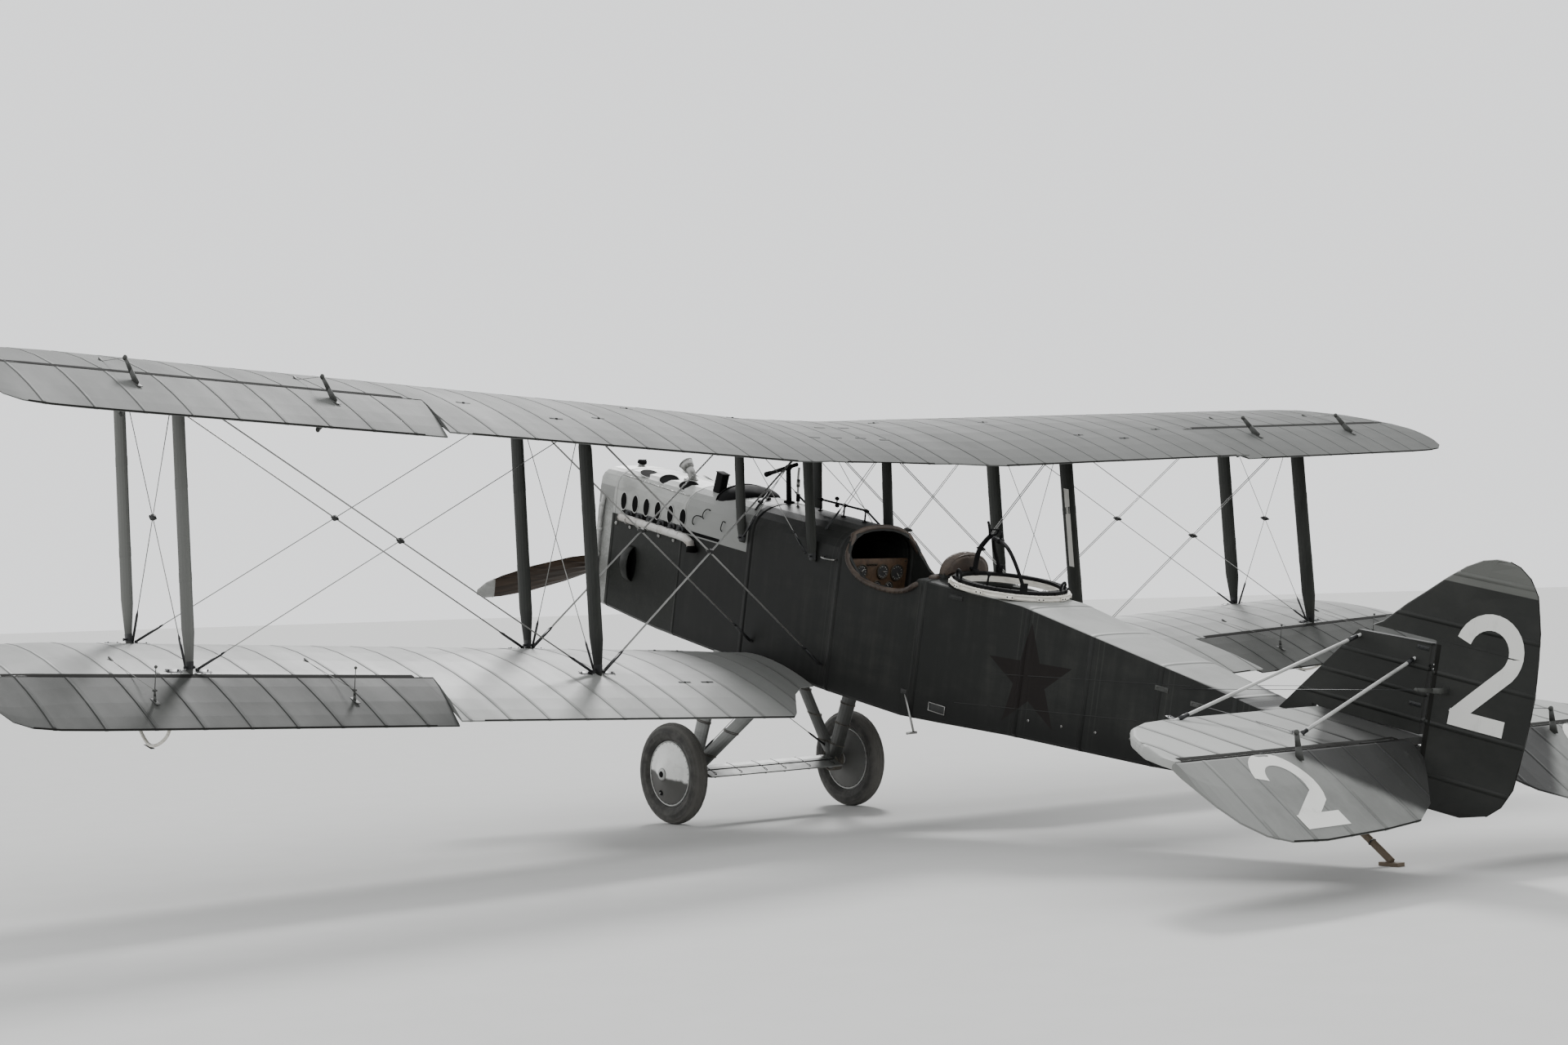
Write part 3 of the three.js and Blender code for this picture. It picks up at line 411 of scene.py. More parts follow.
# Ply butt straps and fabric seams on the fuselage: a frayed tape at every former of the linen,
# and screwed ply straps on the front, on the outside and on the cockpits' inner walls.
taped('ply_butt_straps', 'fuselage_front', 'airframe', (-0.02, 1.06, 2.02), painted_ply,
      across=1, width=0.055)
taped('former_tapes', 'fuselage_rear', 'airframe', (3.03, 3.62, 4.23, 4.84, 5.45), painted_linen,
      across=1, width=0.04)


# Engine cowl: beaten aluminium panels, painted silver on the crown and dark below the exhaust,
# held by a hinge along each shoulder, bands round the joints and turn-buttons. The tools for
# rods, blocks, bent bars and places on a skin come first, and serve every later piece.
def facing(way):
    """The turn that brings z along a way."""
    return way.to_track_quat('Z', 'Y').to_matrix().to_4x4()


def turned(degrees, axis):
    return Matrix.Rotation(radians(degrees), 4, axis)


def port(shift):
    return Vector((shift, 0, 0))


def aft(shift):
    return Vector((0, shift, 0))


def raised(height):
    return Vector((0, 0, height))


def rod(shape, start, end, radius, sides=10, end_radius=None):
    """A straight round rod, tapered if its end has its own radius."""
    start, end = Vector(start), Vector(end)
    along = end - start
    bmesh.ops.create_cone(shape, cap_ends=True, segments=sides, radius1=radius,
                          radius2=radius if end_radius is None else end_radius,
                          depth=along.length, matrix=moved((start + end) / 2) @ facing(along))


def block(shape, size, matrix, rounded=0.0, segments=2):
    """A block of this size at a matrix, with rounded edges."""
    made = bmesh.ops.create_cube(shape, size=1.0, matrix=matrix @ Matrix.Diagonal((*size, 1)))
    if rounded:
        edges = {edge for vert in made['verts'] for edge in vert.link_edges}
        bmesh.ops.bevel(shape, geom=list(edges), offset=rounded, segments=segments,
                        profile=0.5, material=-1, affect='EDGES')


def ball(shape, centre, radius, scale=(1, 1, 1), segments=12):
    bmesh.ops.create_uvsphere(shape, u_segments=segments, v_segments=max(segments // 2, 5), radius=radius,
                              matrix=moved(centre) @ Matrix.Diagonal((*scale, 1)))


def bent(shape, points, radius, closed=False, sides=8, smooth=True):
    """A round bar or tube bent smoothly through points."""
    line = bpy.data.curves.new('line', 'CURVE')
    line.dimensions, line.bevel_depth, line.bevel_resolution = '3D', radius, max(sides // 4 - 1, 0)
    line.use_fill_caps = not closed
    if smooth:
        spline = line.splines.new('BEZIER')
        spline.bezier_points.add(len(points) - 1)
        for knot, point in zip(spline.bezier_points, points):
            knot.co, knot.handle_left_type, knot.handle_right_type = point, 'AUTO', 'AUTO'
        spline.resolution_u = 6
    else:
        spline = line.splines.new('POLY')
        spline.points.add(len(points) - 1)
        for knot, point in zip(spline.points, points):
            knot.co = (*point, 1)
    spline.use_cyclic_u = closed
    holder = bpy.data.objects.new('line', line)
    swept = bpy.data.meshes.new_from_object(holder)
    shape.from_mesh(swept)
    bpy.data.objects.remove(holder)
    bpy.data.meshes.remove(swept)
    bpy.data.curves.remove(line)


skins, UP, DOWN = {}, (0, 0, 1), (0, 0, -1)


def skin_tree(node):
    if node not in skins:
        skins[node] = BVHTree.FromBMesh(shape_of(node, weld=False))
    return skins[node]


def on_skin(node, start, toward, along=(0, 1, 0)):
    """The place where a line meets a CAD node's skin: z outwards, x along the given way."""
    spot, normal, _, _ = skin_tree(node).ray_cast(Vector(start), Vector(toward))
    if normal.dot(Vector(toward)) > 0:
        normal = -normal
    across_way = normal.cross(Vector(along)).normalized()
    forward = across_way.cross(normal).normalized()
    return moved(spot) @ Matrix([forward, across_way, normal]).transposed().to_4x4()


def beside(node, side, y, z):
    return on_skin(node, (side * 2, y, z), (-side, 0, 0))


def atop(node, x, y):
    return on_skin(node, (x, y, 4), DOWN)


def skinned(shape, rows):
    """Faces between rows of points that lie side by side."""
    for first, second in zip(rows, rows[1:]):
        for a, b, c, d in zip(first, first[1:], second[1:], second):
            shape.faces.new((a, b, c, d))


def lofted(shape, rings, clockwise=False):
    """Faces between closed rings of points, and over the first and last ring."""
    skinned(shape, [ring + ring[:1] for ring in rings])
    for end in (rings[0], rings[-1][::-1]) if clockwise else (rings[0][::-1], rings[-1]):
        shape.faces.new(end)
    bmesh.ops.recalc_face_normals(shape, faces=shape.faces[:])


def circle(matrix, wide, tall=None, count=16, lift=0.0):
    """Points round an ellipse in a frame's own plane."""
    return [matrix @ Vector((wide * cos(2 * pi * k / count), (tall or wide) * sin(2 * pi * k / count), lift))
            for k in range(count)]


def four(wide, tall):
    """The corners of an oblong about a middle."""
    return [(wide * across, tall * along) for across in (1, -1) for along in (1, -1)]


def screws(shape, matrix, places, radius=0.005):
    """Round-headed screws on a face."""
    for place in places:
        ball(shape, matrix @ Vector((*place, 0)), radius, (1, 1, 1), 8)


def beaten_metal(name, light, lower=None, split=1.768, gloss=0.5):
    sheet = Finish(name, Specular_IOR_Level=gloss, Metallic=gloss / 2)
    here = sheet.place()
    _, _, z = sheet.axes(here)
    beat = sheet.noise(here, 5.5, 2.0)
    dirt = sheet.noise(sheet.place((1, 1, 1.6)), 2.3, 6.0, 0.65)
    oil = sheet.ease(sheet.noise(sheet.place((2.2, 0.8, 5.0)), 2.0, 5.0, 0.7), 0.52, 0.72)
    fine = sheet.noise(here, 60.0, 3.0, 0.7)
    colour = sheet.mix(sheet.ease(dirt, 0.38, 0.75), light, tuple(c * 0.62 for c in light))
    colour = sheet.mix(oil * 0.45, colour, tuple(c * 0.35 for c in light))
    if lower:
        shade = sheet.mix(sheet.ease(dirt * 0.7 + fine * 0.3, 0.45, 0.7), lower, tuple(c * 1.8 for c in lower))
        colour = sheet.mix(sheet.ease(z, split, split + 0.004), shade, colour)
    return sheet.apply(colour, 0.34 + dirt * 0.28 - oil * 0.08, beat + fine * 0.12 + dirt * 0.3, 0.004)


silver_metal = beaten_metal('silver_painted_metal', (0.44, 0.445, 0.43))
cowl_metal = beaten_metal('cowl_sheet', (0.35, 0.355, 0.34), (0.0110, 0.0120, 0.0105), gloss=0.16)
finish_nodes(cowl_metal, 'engine_cowl')
taped('cowl_bands', 'engine_cowl', 'airframe', (-1.915, -0.930), cowl_metal,
      across=1, width=0.032)
hinges = bmesh.new()
for side in (1, -1):
    ends = [atop('engine_cowl', side * 0.325, y).translation + raised(0.002)
            for y in (-1.90, -1.7, -1.5, -1.3, -1.1, -0.95)]
    for start, end in zip(ends, ends[1:]):
        rod(hinges, start, end, 0.0045, 6)
        for part in (0.2, 0.4, 0.6, 0.8):
            knuckle = start.lerp(end, part)
            rod(hinges, knuckle, knuckle + (end - start).normalized() * 0.012, 0.0065, 6)
    for y in (-1.87, -1.66, -1.45, -1.24, -1.03):
        catch = beside('engine_cowl', side, y, 1.690)
        rod(hinges, catch @ raised(-0.002), catch @ raised(0.007), 0.016, 14)
        block(hinges, (0.026, 0.005, 0.006), catch @ moved((0, 0, 0.009)), 0.0015)
placed('cowl_hinges_and_catches', hinges, bare_steel)


# Cowl openings: six upright ovals on each side for the plugs and three over each bank, each a
# rolled lip round a dark hole, and a pear-shaped scoop low on each side that draws air out.
# The holes and the scoops' mouths are near-black dishes and discs: painted shade for the openings.
def oval(lips, holes, frame_at, width, height):
    """A rolled lip and the near-black dish inside it, painted shade for the hole; width runs along the frame's
    x.
    """
    bent(lips, circle(frame_at, width, height, 20, 0.001), 0.0045, closed=True)
    dish = bmesh.ops.create_circle(holes, cap_ends=True, segments=24, radius=1.0, matrix=frame_at @ moved(
        (0, 0, 0.0042)) @ Matrix.Diagonal((width, height, 1, 1)))
    face = dish['verts'][0].link_faces[0]
    bmesh.ops.inset_region(holes, faces=[face], thickness=min(width, height) * 0.4, depth=-0.0015)


PLUG_OVALS_Y = (-1.788, -1.621, -1.455, -1.290, -1.111, -0.935)
CROWN_OVALS = ((0.225, -1.665), (0.228, -1.38), (0.230, -1.10))
lips, holes = bmesh.new(), bmesh.new()
for side in (1, -1):
    for y in PLUG_OVALS_Y:
        oval(lips, holes, beside('engine_cowl', side, y, 1.895), 0.045, 0.076)
    for x, y in CROWN_OVALS:
        oval(lips, holes, atop('engine_cowl', side * x, y), 0.092, 0.080)
placed('cowl_oval_lips', lips, silver_metal)
placed('cowl_oval_holes', holes, hole_black)

SCOOP = dict(y=-1.60, z=1.385, long=0.13, tall=0.155, proud=0.075)
scoops, mouths = bmesh.new(), bmesh.new()
for side in (1, -1):
    seat = beside('engine_cowl', side, SCOOP['y'], SCOOP['z'])
    shell = bmesh.new()
    bmesh.ops.create_uvsphere(shell, u_segments=24, v_segments=16, radius=1.0)
    cut(shell, (0, 0, 0), DOWN, clear_outer=True)
    cut(shell, (0.30, 0, 0), (1, 0, 0), clear_outer=True)
    bmesh.ops.solidify(shell, geom=shell.faces[:], thickness=0.03)
    shell.transform(seat @ Matrix.Diagonal((SCOOP['long'], SCOOP['tall'], SCOOP['proud'], 1)))
    bmesh.ops.recalc_face_normals(shell, faces=shell.faces[:])
    join(shell, scoops)
    # The scoop's mouth is a near-black disc: painted shade inside the scoop.
    bmesh.ops.create_circle(mouths, cap_ends=True, segments=24, radius=1.0, matrix=seat @ moved(
        (0.028, 0, 0.0015)) @ Matrix.Diagonal((0.05, SCOOP['tall'] * 0.86, 1, 1)))
placed('side_scoops', scoops, cowl_metal)
placed('side_scoop_mouths', mouths, hole_black)


# On the crown of the cowl: the water filler cap, the bent carburettor intake with its flared
# mouth, the black vent box, and the black hooded duct that runs back over the firewall.
crown_fittings, black_fittings = bmesh.new(), bmesh.new()
filler = atop('radiator', 0, -2.10)
rod(crown_fittings, filler @ raised(-0.01), filler @ raised(0.028), 0.030, 20)
rod(black_fittings, filler @ raised(0.026), filler @ raised(0.050), 0.040, 24, 0.036)
for k in range(24):
    angle = 2 * pi * k / 24
    rod(black_fittings, filler @ Vector((0.0395 * cos(angle), 0.0395 * sin(angle), 0.028)),
        filler @ Vector((0.037 * cos(angle), 0.037 * sin(angle), 0.049)), 0.003, 5)
block(black_fittings, (0.012, 0.085, 0.010), filler @ moved((0, 0, 0.054)), 0.003)
intake = atop('engine_cowl', 0.12, -1.22)
bent(crown_fittings, [intake @ Vector(spot) for spot in (
    (0.02, 0, -0.02), (0.018, 0, 0.03), (-0.002, 0, 0.075), (-0.045, 0, 0.105))], 0.036, sides=16)
mouth = [intake @ Vector(spot) for spot in ((-0.035, 0, 0.100), (-0.085, 0, 0.130))]
rod(crown_fittings, mouth[0], mouth[1], 0.047, 24, 0.062)
rod(black_fittings, mouth[0].lerp(mouth[1], 0.9), mouth[0].lerp(mouth[1], 1.02), 0.0545, 24, 0.0545)
bent(crown_fittings, [mouth[1] + (intake.to_3x3() @ Vector((0.027 * sin(pi * k / 8), 0.060 * cos(pi * k / 8),
                                                            0.053 * sin(pi * k / 8)))) for k in range(16)],
     0.004, closed=True)
rod(crown_fittings, intake @ raised(-0.004), intake @ raised(0.007), 0.062, 20)
screws(crown_fittings, intake @ moved((0, 0, 0.007)),
       [(0.051 * cos(pi * k / 4), 0.051 * sin(pi * k / 4)) for k in range(8)], 0.0055)
vent = atop('fuselage_front', 0.185, -0.74).translation
lean = moved(vent + Vector((0, 0.012, 0.070))) @ turned(-10, 'X')
block(black_fittings, (0.075, 0.092, 0.175), lean, 0.010, 3)
block(black_fittings, (0.082, 0.099, 0.010), lean @ moved((0, 0, 0.086)), 0.004)
HOOD = ((-0.62, 0.300, 0.060), (-0.54, 0.305, 0.070), (-0.46, 0.260, 0.064), (-0.39, 0.185, 0.048),
        (-0.34, 0.110, 0.030), (-0.31, 0.040, 0.010))


def hood_arch(y, half, rise, sunk):
    spots = []
    for k in range(13):
        x = half * cos(pi * k / 12)
        deck = atop('fuselage_front', x, y).translation.z
        spots.append(Vector((x, y, deck - sunk + rise * sin(pi * k / 12) ** 0.7)))
    return spots


hood = bmesh.new()
skinned(hood, [[hood.verts.new(spot) for spot in hood_arch(*arch, 0.004)] for arch in HOOD])
bmesh.ops.recalc_face_normals(hood, faces=hood.faces[:])
near_black = Finish('dull_black', Specular_IOR_Level=0.05)
soot_noise = near_black.noise(near_black.place(), 8.0, 5.0, 0.6)
dull_black = near_black.apply(near_black.mix(soot_noise, (0.005, 0.005, 0.0055), (0.015, 0.015, 0.015)),
                        0.62 + soot_noise * 0.25, soot_noise, 0.0008)
hood_piece = placed('hooded_duct', hood, dull_black)
wall = hood_piece.modifiers.new('wall', 'SOLIDIFY')
wall.thickness, wall.offset = 0.003, 0
smoother = hood_piece.modifiers.new('smooth', 'SUBSURF')
smoother.levels = smoother.render_levels = 1
bent(black_fittings, hood_arch(*HOOD[0], 0.002), 0.007)
stalk = atop('fuselage_front', 0, -0.465).translation
rod(black_fittings, stalk - raised(0.003), stalk + raised(0.028), 0.006, 10)
ball(black_fittings, stalk + raised(0.034), 0.021, (1, 1.3, 0.8), 14)
placed('crown_fittings', crown_fittings, bare_steel)
placed('black_crown_fittings', black_fittings, dull_black)


# Radiator: a deep brass matrix behind upright shutters, in a shell that closes the nose, with a
# header tank along its top, a starting-handle boss and two struts of pipe down its back.
finish_nodes(beaten_metal('radiator_shell', (0.34, 0.345, 0.33), (0.180, 0.183, 0.174), 1.99), 'radiator')
finish_nodes(black_metal, 'engine_block')
CORNER = 3.4
NOSE_Y, NOSE_HALF, NOSE_LOW, NOSE_SIDE, NOSE_RISE = -2.160, 0.345, 0.995, 1.955, 0.170


def nose_top(x):
    return NOSE_SIDE + NOSE_RISE * max(1 - (abs(x) / NOSE_HALF) ** CORNER, 0) ** (1 / CORNER)


shutters, rim = bmesh.new(), bmesh.new()
for k in range(11):
    x = -0.29 + 0.058 * k
    reach = nose_top(x) - 0.035
    whole, parted = ((NOSE_LOW + 0.02, reach),), ((NOSE_LOW + 0.02, 1.245), (1.395, reach))
    for low, high in parted if abs(x) < 0.09 else whole:
        blade = moved((x, NOSE_Y - 0.018, (low + high) / 2)) @ turned(26, 'Z')
        block(shutters, (0.054, 0.004, high - low), blade, 0.0015, 1)
        rod(shutters, (x, NOSE_Y - 0.018, low - 0.012), (x, NOSE_Y - 0.018, high + 0.012), 0.0045, 8)
for z in (NOSE_LOW + 0.13, 1.53, 1.80):
    for side in (1, -1):
        rod(shutters, (side * 0.09, NOSE_Y - 0.040, z), (side * 0.30, NOSE_Y - 0.040, z), 0.004, 8)
arc = [(NOSE_HALF * cos(pi * k / 20), nose_top(NOSE_HALF * cos(pi * k / 20))) for k in range(21)]
outline = [(-NOSE_HALF, NOSE_LOW), (NOSE_HALF, NOSE_LOW)] + arc
bent(rim, [(x, NOSE_Y - 0.004, z) for x, z in outline], 0.015, closed=True, smooth=False, sides=10)
for side in (1, -1):
    bent(rim, [(side * x, y, z) for x, y, z in ((0.385, -2.075, 1.90), (0.392, -2.085, 1.70),
                                                (0.392, -2.085, 1.30), (0.372, -2.07, 1.06))], 0.019, sides=12)
    for z in (1.82, 1.60, 1.38, 1.16):
        rod(rim, (side * 0.392, -2.085, z - 0.014), (side * 0.392, -2.085, z + 0.014), 0.024, 16)
        block(rim, (0.05, 0.03, 0.012), moved((side * 0.372, -2.085, z)), 0.002)
core = bmesh.new()
for level_z in range(47):
    z = NOSE_LOW + 0.012 + level_z * 0.0235
    over = max(z - NOSE_SIDE, 0) / NOSE_RISE
    half = (NOSE_HALF - 0.012) * max(1 - over ** CORNER, 0.02) ** (1 / CORNER)
    block(core, (half * 2, 0.006, 0.012), moved((0, NOSE_Y - 0.0032, z)))
for k in range(27):
    x = -0.312 + 0.024 * k
    top = nose_top(x) - 0.01
    block(core, (0.004, 0.010, top - NOSE_LOW), moved((x, NOSE_Y - 0.0052, (top + NOSE_LOW) / 2)))
placed('radiator_core', core, black_metal, smooth=False)
placed('radiator_shutters', shutters, dark_painted, smooth=False)
placed('radiator_rim_and_pipes', rim, silver_metal)


# Exhaust manifolds: rolled steel pipes outside the cowl, burnt grey and brown, each fed by six
# flanged stubs and open at the turned-down end.
burnt = Finish('burnt_exhaust', Metallic=0.55)
heat = burnt.noise(burnt.place((1, 0.6, 1)), 5.0, 5.0, 0.65)
scale_marks = burnt.noise(burnt.place(), 34.0, 5.0, 0.7)
burnt_colour = burnt.mix(burnt.ease(heat, 0.40, 0.75), (0.52, 0.515, 0.50), (0.30, 0.27, 0.24))
burnt_colour = burnt.mix(burnt.ease(scale_marks, 0.55, 0.75) * 0.35, burnt_colour, (0.12, 0.10, 0.09))
burnt_steel = burnt.apply(burnt_colour, 0.38 + heat * 0.35, scale_marks + heat, 0.0012)
finish_nodes(burnt_steel, 'exhaust_left', 'exhaust_right')
stubs, flanges, near_black = bmesh.new(), bmesh.new(), bmesh.new()
SLOT_LOW, SLOT_HIGH = 1.778, 1.826
MANIFOLD_X, MANIFOLD_Z = 0.4146, 1.753
for side in (1, -1):
    for y in (-1.70, -1.545, -1.39, -1.235, -1.08, -0.96):
        root = beside('engine_cowl', side, y, 1.800)
        rod(flanges, root @ raised(-0.004), (side * MANIFOLD_X, y, MANIFOLD_Z + 0.012), 0.024, 16)
        block(flanges, (0.095, 0.058, 0.007), root @ moved((0, 0, 0.002)), 0.003)
        screws(flanges, root @ moved((0, 0, 0.006)), four(0.038, 0.018), 0.006)
        band = Vector((side * MANIFOLD_X, y, MANIFOLD_Z))
        bent(stubs, [band + 0.0345 * Vector((cos(pi * k / 8), 0, sin(pi * k / 8))) + Vector((0, 0.045, -0.002))
                     for k in range(16)], 0.0035, closed=True)
    # The near-black strip along the cowl's slot above the stubs is painted shade for the gap there.
    strip = []
    for k in range(29):
        y = -1.80 + 0.0493 * k
        node = 'engine_cowl' if y < -0.906 else 'fuselage_front'
        seats = [beside(node, side, y, z) for z in (SLOT_LOW, SLOT_HIGH if y < -0.86 else 1.806)]
        strip.append([near_black.verts.new(seat @ raised(0.0015)) for seat in seats])
    for (a, b), (c, d) in zip(strip, strip[1:]):
        near_black.faces.new((a, b, d, c) if side > 0 else (a, c, d, b))
    # The turned-down end is a near-black pipe mouth: painted shade for the pipe's inside.
    end = Vector((side * 0.4195, -0.728, 1.645))
    rod(near_black, end + Vector((0, -0.006, 0.050)), end - Vector((0, -0.003, 0.0015)), 0.0370, 20, 0.0480)
    bent(near_black, circle(moved(end), 0.0345, lift=0.002), 0.004, closed=True)
    rod(stubs, (side * MANIFOLD_X, -1.766, 1.759), (side * MANIFOLD_X, -1.784, 1.7593), 0.036, 20, 0.022)
placed('exhaust_flanges', flanges, black_metal)
placed('exhaust_clamps', stubs, burnt_steel)
placed('exhaust_gap_and_mouth_shade', near_black, hole_black)


# Interplane and cabane struts: spruce, faired to a streamline, painted dark, bound with tape at
# thirds of their length and seated in forked steel sockets that bolt through to the spars.
strut = Finish('strut_paint', Specular_IOR_Level=0.2)
strut_x, _, strut_z = strut.axes(strut.place())
strut_worn = strut.noise(strut.place((1, 1, 0.25)), 6.0, 6.0, 0.65)
strut_colour = strut.mix(strut.ease(strut_worn, 0.42, 0.72), (0.022, 0.024, 0.021), (0.036, 0.038, 0.034))
# The outboard struts on the port side are made paler: painted light.
strut_colour = strut.mix(strut.ease(strut_x, 3.4, 3.8), strut_colour, (0.125, 0.128, 0.120))
# The lower ends of the struts are darker: partly their paint, partly painted shade.
strut_foot_paint_and_shade = strut.ease(strut_z + strut_worn * 0.1, 1.50, 1.22)
strut_colour = strut.mix(strut_foot_paint_and_shade * 0.75, strut_colour, (0.012, 0.013, 0.012))
strut_paint = strut.apply(strut_colour, 0.5 + strut_worn * 0.2, strut_worn, 0.0008)
STRUTS = [f'interplane_strut_{place}_{row}_{hand}' for place in ('inboard', 'outboard')
          for row in ('front', 'rear') for hand in ('left', 'right')]
CABANES = [f'cabane_strut_{row}_{hand}' for row in ('front', 'rear') for hand in ('left', 'right')]
finish_nodes(strut_paint, *STRUTS, *CABANES)


def strut_ends(node):
    """The middles of a strut's foot and head, in the level aircraft's axes."""
    corners, ends = corners_of(node), []
    for level in (min(corner.z for corner in corners), max(corner.z for corner in corners)):
        near = [corner for corner in corners if abs(corner.z - level) < 0.05]
        spread = [(min(c[k] for c in near) + max(c[k] for c in near)) / 2 for k in range(3)]
        ends.append(Vector((spread[0], spread[1], level)))
    return ends


def sliced(shape, node, part_low, part_high, swell):
    """A sleeve copied from a strut between two parts of its length, a little swollen."""
    foot, head = strut_ends(node)
    way = head - foot
    sleeve = shape_of(node)
    for part, sign in ((part_low, -1), (part_high, 1)):
        cut(sleeve, foot + way * part, way * sign, clear_outer=True)
    bmesh.ops.holes_fill(sleeve, edges=[edge for edge in sleeve.edges if edge.is_boundary], sides=0)
    sleeve.normal_update()
    away = {vert: vert.normal.copy() for vert in sleeve.verts}
    for vert in sleeve.verts:
        vert.co += (away[vert] - way * (away[vert].dot(way) / way.dot(way))).normalized() * swell
    join(sleeve, shape)


SOCKET, BINDING, SLEEVE, TAPE_LAYERS = 0.050, 0.030, 0.0022, 0.0012
sockets, bindings = bmesh.new(), bmesh.new()
for node in STRUTS + CABANES:
    foot, head = strut_ends(node)
    way = (head - foot).normalized()
    reach = (head - foot).length
    sliced(sockets, node, 0.012, 0.012 + SOCKET / reach, SLEEVE)
    sliced(sockets, node, 0.988 - SOCKET / reach, 0.988, SLEEVE)
    for part in (0.335, 0.665):
        sliced(bindings, node, part - BINDING / reach, part + BINDING / reach, TAPE_LAYERS)
    for end, sign in ((foot, 1), (head, -1)):
        centre = end + way * sign * 0.036
        rod(sockets, centre - port(0.032), centre + port(0.032), 0.0065, 8)
        for side in (1, -1):
            rod(sockets, centre + port(side * 0.028), centre + port(side * 0.036), 0.010, 6)
placed('strut_sockets', sockets, black_metal, smooth=False)
placed('strut_tape_bindings', bindings, strut_paint, smooth=False)


# A blank pale plate runs up the outer face of the starboard inboard rear strut: the place of a
# rigging card, left bare.
blank_card = dark_paint_finish('blank_card', (0.62, 0.61, 0.57), (0.42, 0.41, 0.37), 6.0, 0.0, 0.4)
card = bmesh.new()
low_z, high_z, card_half = 1.78, 2.42, 0.027
card_strut = 'interplane_strut_inboard_rear_right'
foot, head = strut_ends(card_strut)
rows = []
for k in range(9):
    z = low_z + (high_z - low_z) * k / 8
    middle = foot.lerp(head, (z - foot.z) / (head.z - foot.z))
    row = []
    for step in range(-3, 4):
        start = middle + Vector((0.5, 0.006 + card_half * step / 3, 0))
        seat = on_skin(card_strut, start, (-1, 0, 0), UP)
        row.append(card.verts.new(seat @ raised(0.0012)))
    rows.append(row)
skinned(card, rows)
placed('blank_strut_card', card, blank_card)


# Rigging: streamline steel wires, doubled for the flying loads, each with a fork and a locked
# barrel at its ends, and a dark wooden acorn where the wires of a bay cross.
wire_steel = dark_paint_finish('rigging_steel', (0.36, 0.36, 0.35), (0.22, 0.21, 0.20), 20.0, 0.7, 0.16)
WIRE, TWIN_GAP = 0.0036, 0.020


def wire(shape, fittings, start, end, radius=WIRE):
    start, end = Vector(start), Vector(end)
    way = (end - start).normalized()
    rod(shape, start + way * 0.05, end - way * 0.05, radius, 6)
    for tip, sign in ((start, 1), (end, -1)):
        long = 0.200 if sign > 0 else 0.060
        rod(fittings, tip + way * sign * 0.012, tip + way * sign * long, 0.0085, 8)
        rod(fittings, tip + way * sign * long, tip + way * sign * (long + 0.040), 0.0085, 8, radius)
        ball(fittings, tip + way * sign * 0.010, 0.0105, (1, 1, 1), 8)


def twin(shape, fittings, start, end, apart=(0, 1, 0)):
    for sign in (1, -1):
        shift = Vector(apart) * TWIN_GAP / 2 * sign
        wire(shape, fittings, Vector(start) + shift, Vector(end) + shift)


def acorn(shape, first, second):
    """The spindle at the nearest approach of two wires, given as pairs of ends."""
    (a, b), (c, d) = [[Vector(point) for point in pair] for pair in (first, second)]
    u, v, w = b - a, d - c, a - c
    uu, uv, vv, uw, vw = u.dot(u), u.dot(v), v.dot(v), u.dot(w), v.dot(w)
    spread = uu * vv - uv * uv
    s, t = (uv * vw - vv * uw) / spread, (uu * vw - uv * uw) / spread
    middle = (a + u * s + c + v * t) / 2
    rod(shape, middle - aft(0.050), middle, 0.006, 12, 0.023)
    rod(shape, middle, middle + aft(0.050), 0.023, 12, 0.006)


wires, fittings, acorns = bmesh.new(), bmesh.new(), bmesh.new()
for hand, side in SIDES:
    at = {}
    for place in ('inboard', 'outboard'):
        for row in ('front', 'rear'):
            foot, head = strut_ends(f'interplane_strut_{place}_{row}_{hand}')
            inward = port(-side * 0.040)
            at[place, row] = (foot + inward + raised(0.016), head + inward - raised(0.016))
    for row in ('front', 'rear'):
        root_foot, root_head = strut_ends(f'cabane_strut_{row}_{hand}')
        outward = port(side * 0.035)
        root_head = root_head + outward - raised(0.020)
        at['root', row] = (root_foot + outward, root_head)
        outer_foot, outer_head = at['outboard', row]
        inner_foot, inner_head = at['inboard', row]
        outward_foot, outward_head = [point + port(side * 0.080) for point in at['inboard', row]]
        longeron_y = inner_foot.y + (0.03 if row == 'front' else -0.02)
        longeron = beside('fuselage_front', side, longeron_y, 1.075).translation
        lines = {'outer_flying': (outward_foot, outer_head), 'outer_landing': (outer_foot, outward_head),
                 'inner_flying': (longeron, inner_head), 'inner_landing': (inner_foot, root_head)}
        twin(wires, fittings, *lines['outer_flying'])
        wire(wires, fittings, *lines['outer_landing'])
        twin(wires, fittings, *lines['inner_flying'])
        twin(wires, fittings, *lines['inner_landing'], apart=(0, 0.9, 0.3))
        acorn(acorns, lines['outer_flying'], lines['outer_landing'])
        acorn(acorns, lines['inner_flying'], lines['inner_landing'])
    for place in ('inboard', 'outboard'):
        shift = port(side * 0.040)
        front_foot, front_head = [point + shift for point in at[place, 'front']]
        rear_foot, rear_head = [point + shift for point in at[place, 'rear']]
        wire(wires, fittings, front_foot + aft(0.055), rear_head - aft(0.055), 0.003)
        wire(wires, fittings, rear_foot - aft(0.055), front_head + aft(0.055), 0.003)
        if place == 'outboard':
            acorn(acorns, (front_foot, rear_head), (rear_foot, front_head))
    front_foot, front_head = at['root', 'front']
    rear_foot, rear_head = at['root', 'rear']
    wire(wires, fittings, front_foot + Vector((0, 0.05, 0.05)), rear_head - aft(0.05), 0.003)
    wire(wires, fittings, rear_foot + Vector((0, -0.05, 0.05)), front_head + aft(0.05), 0.003)
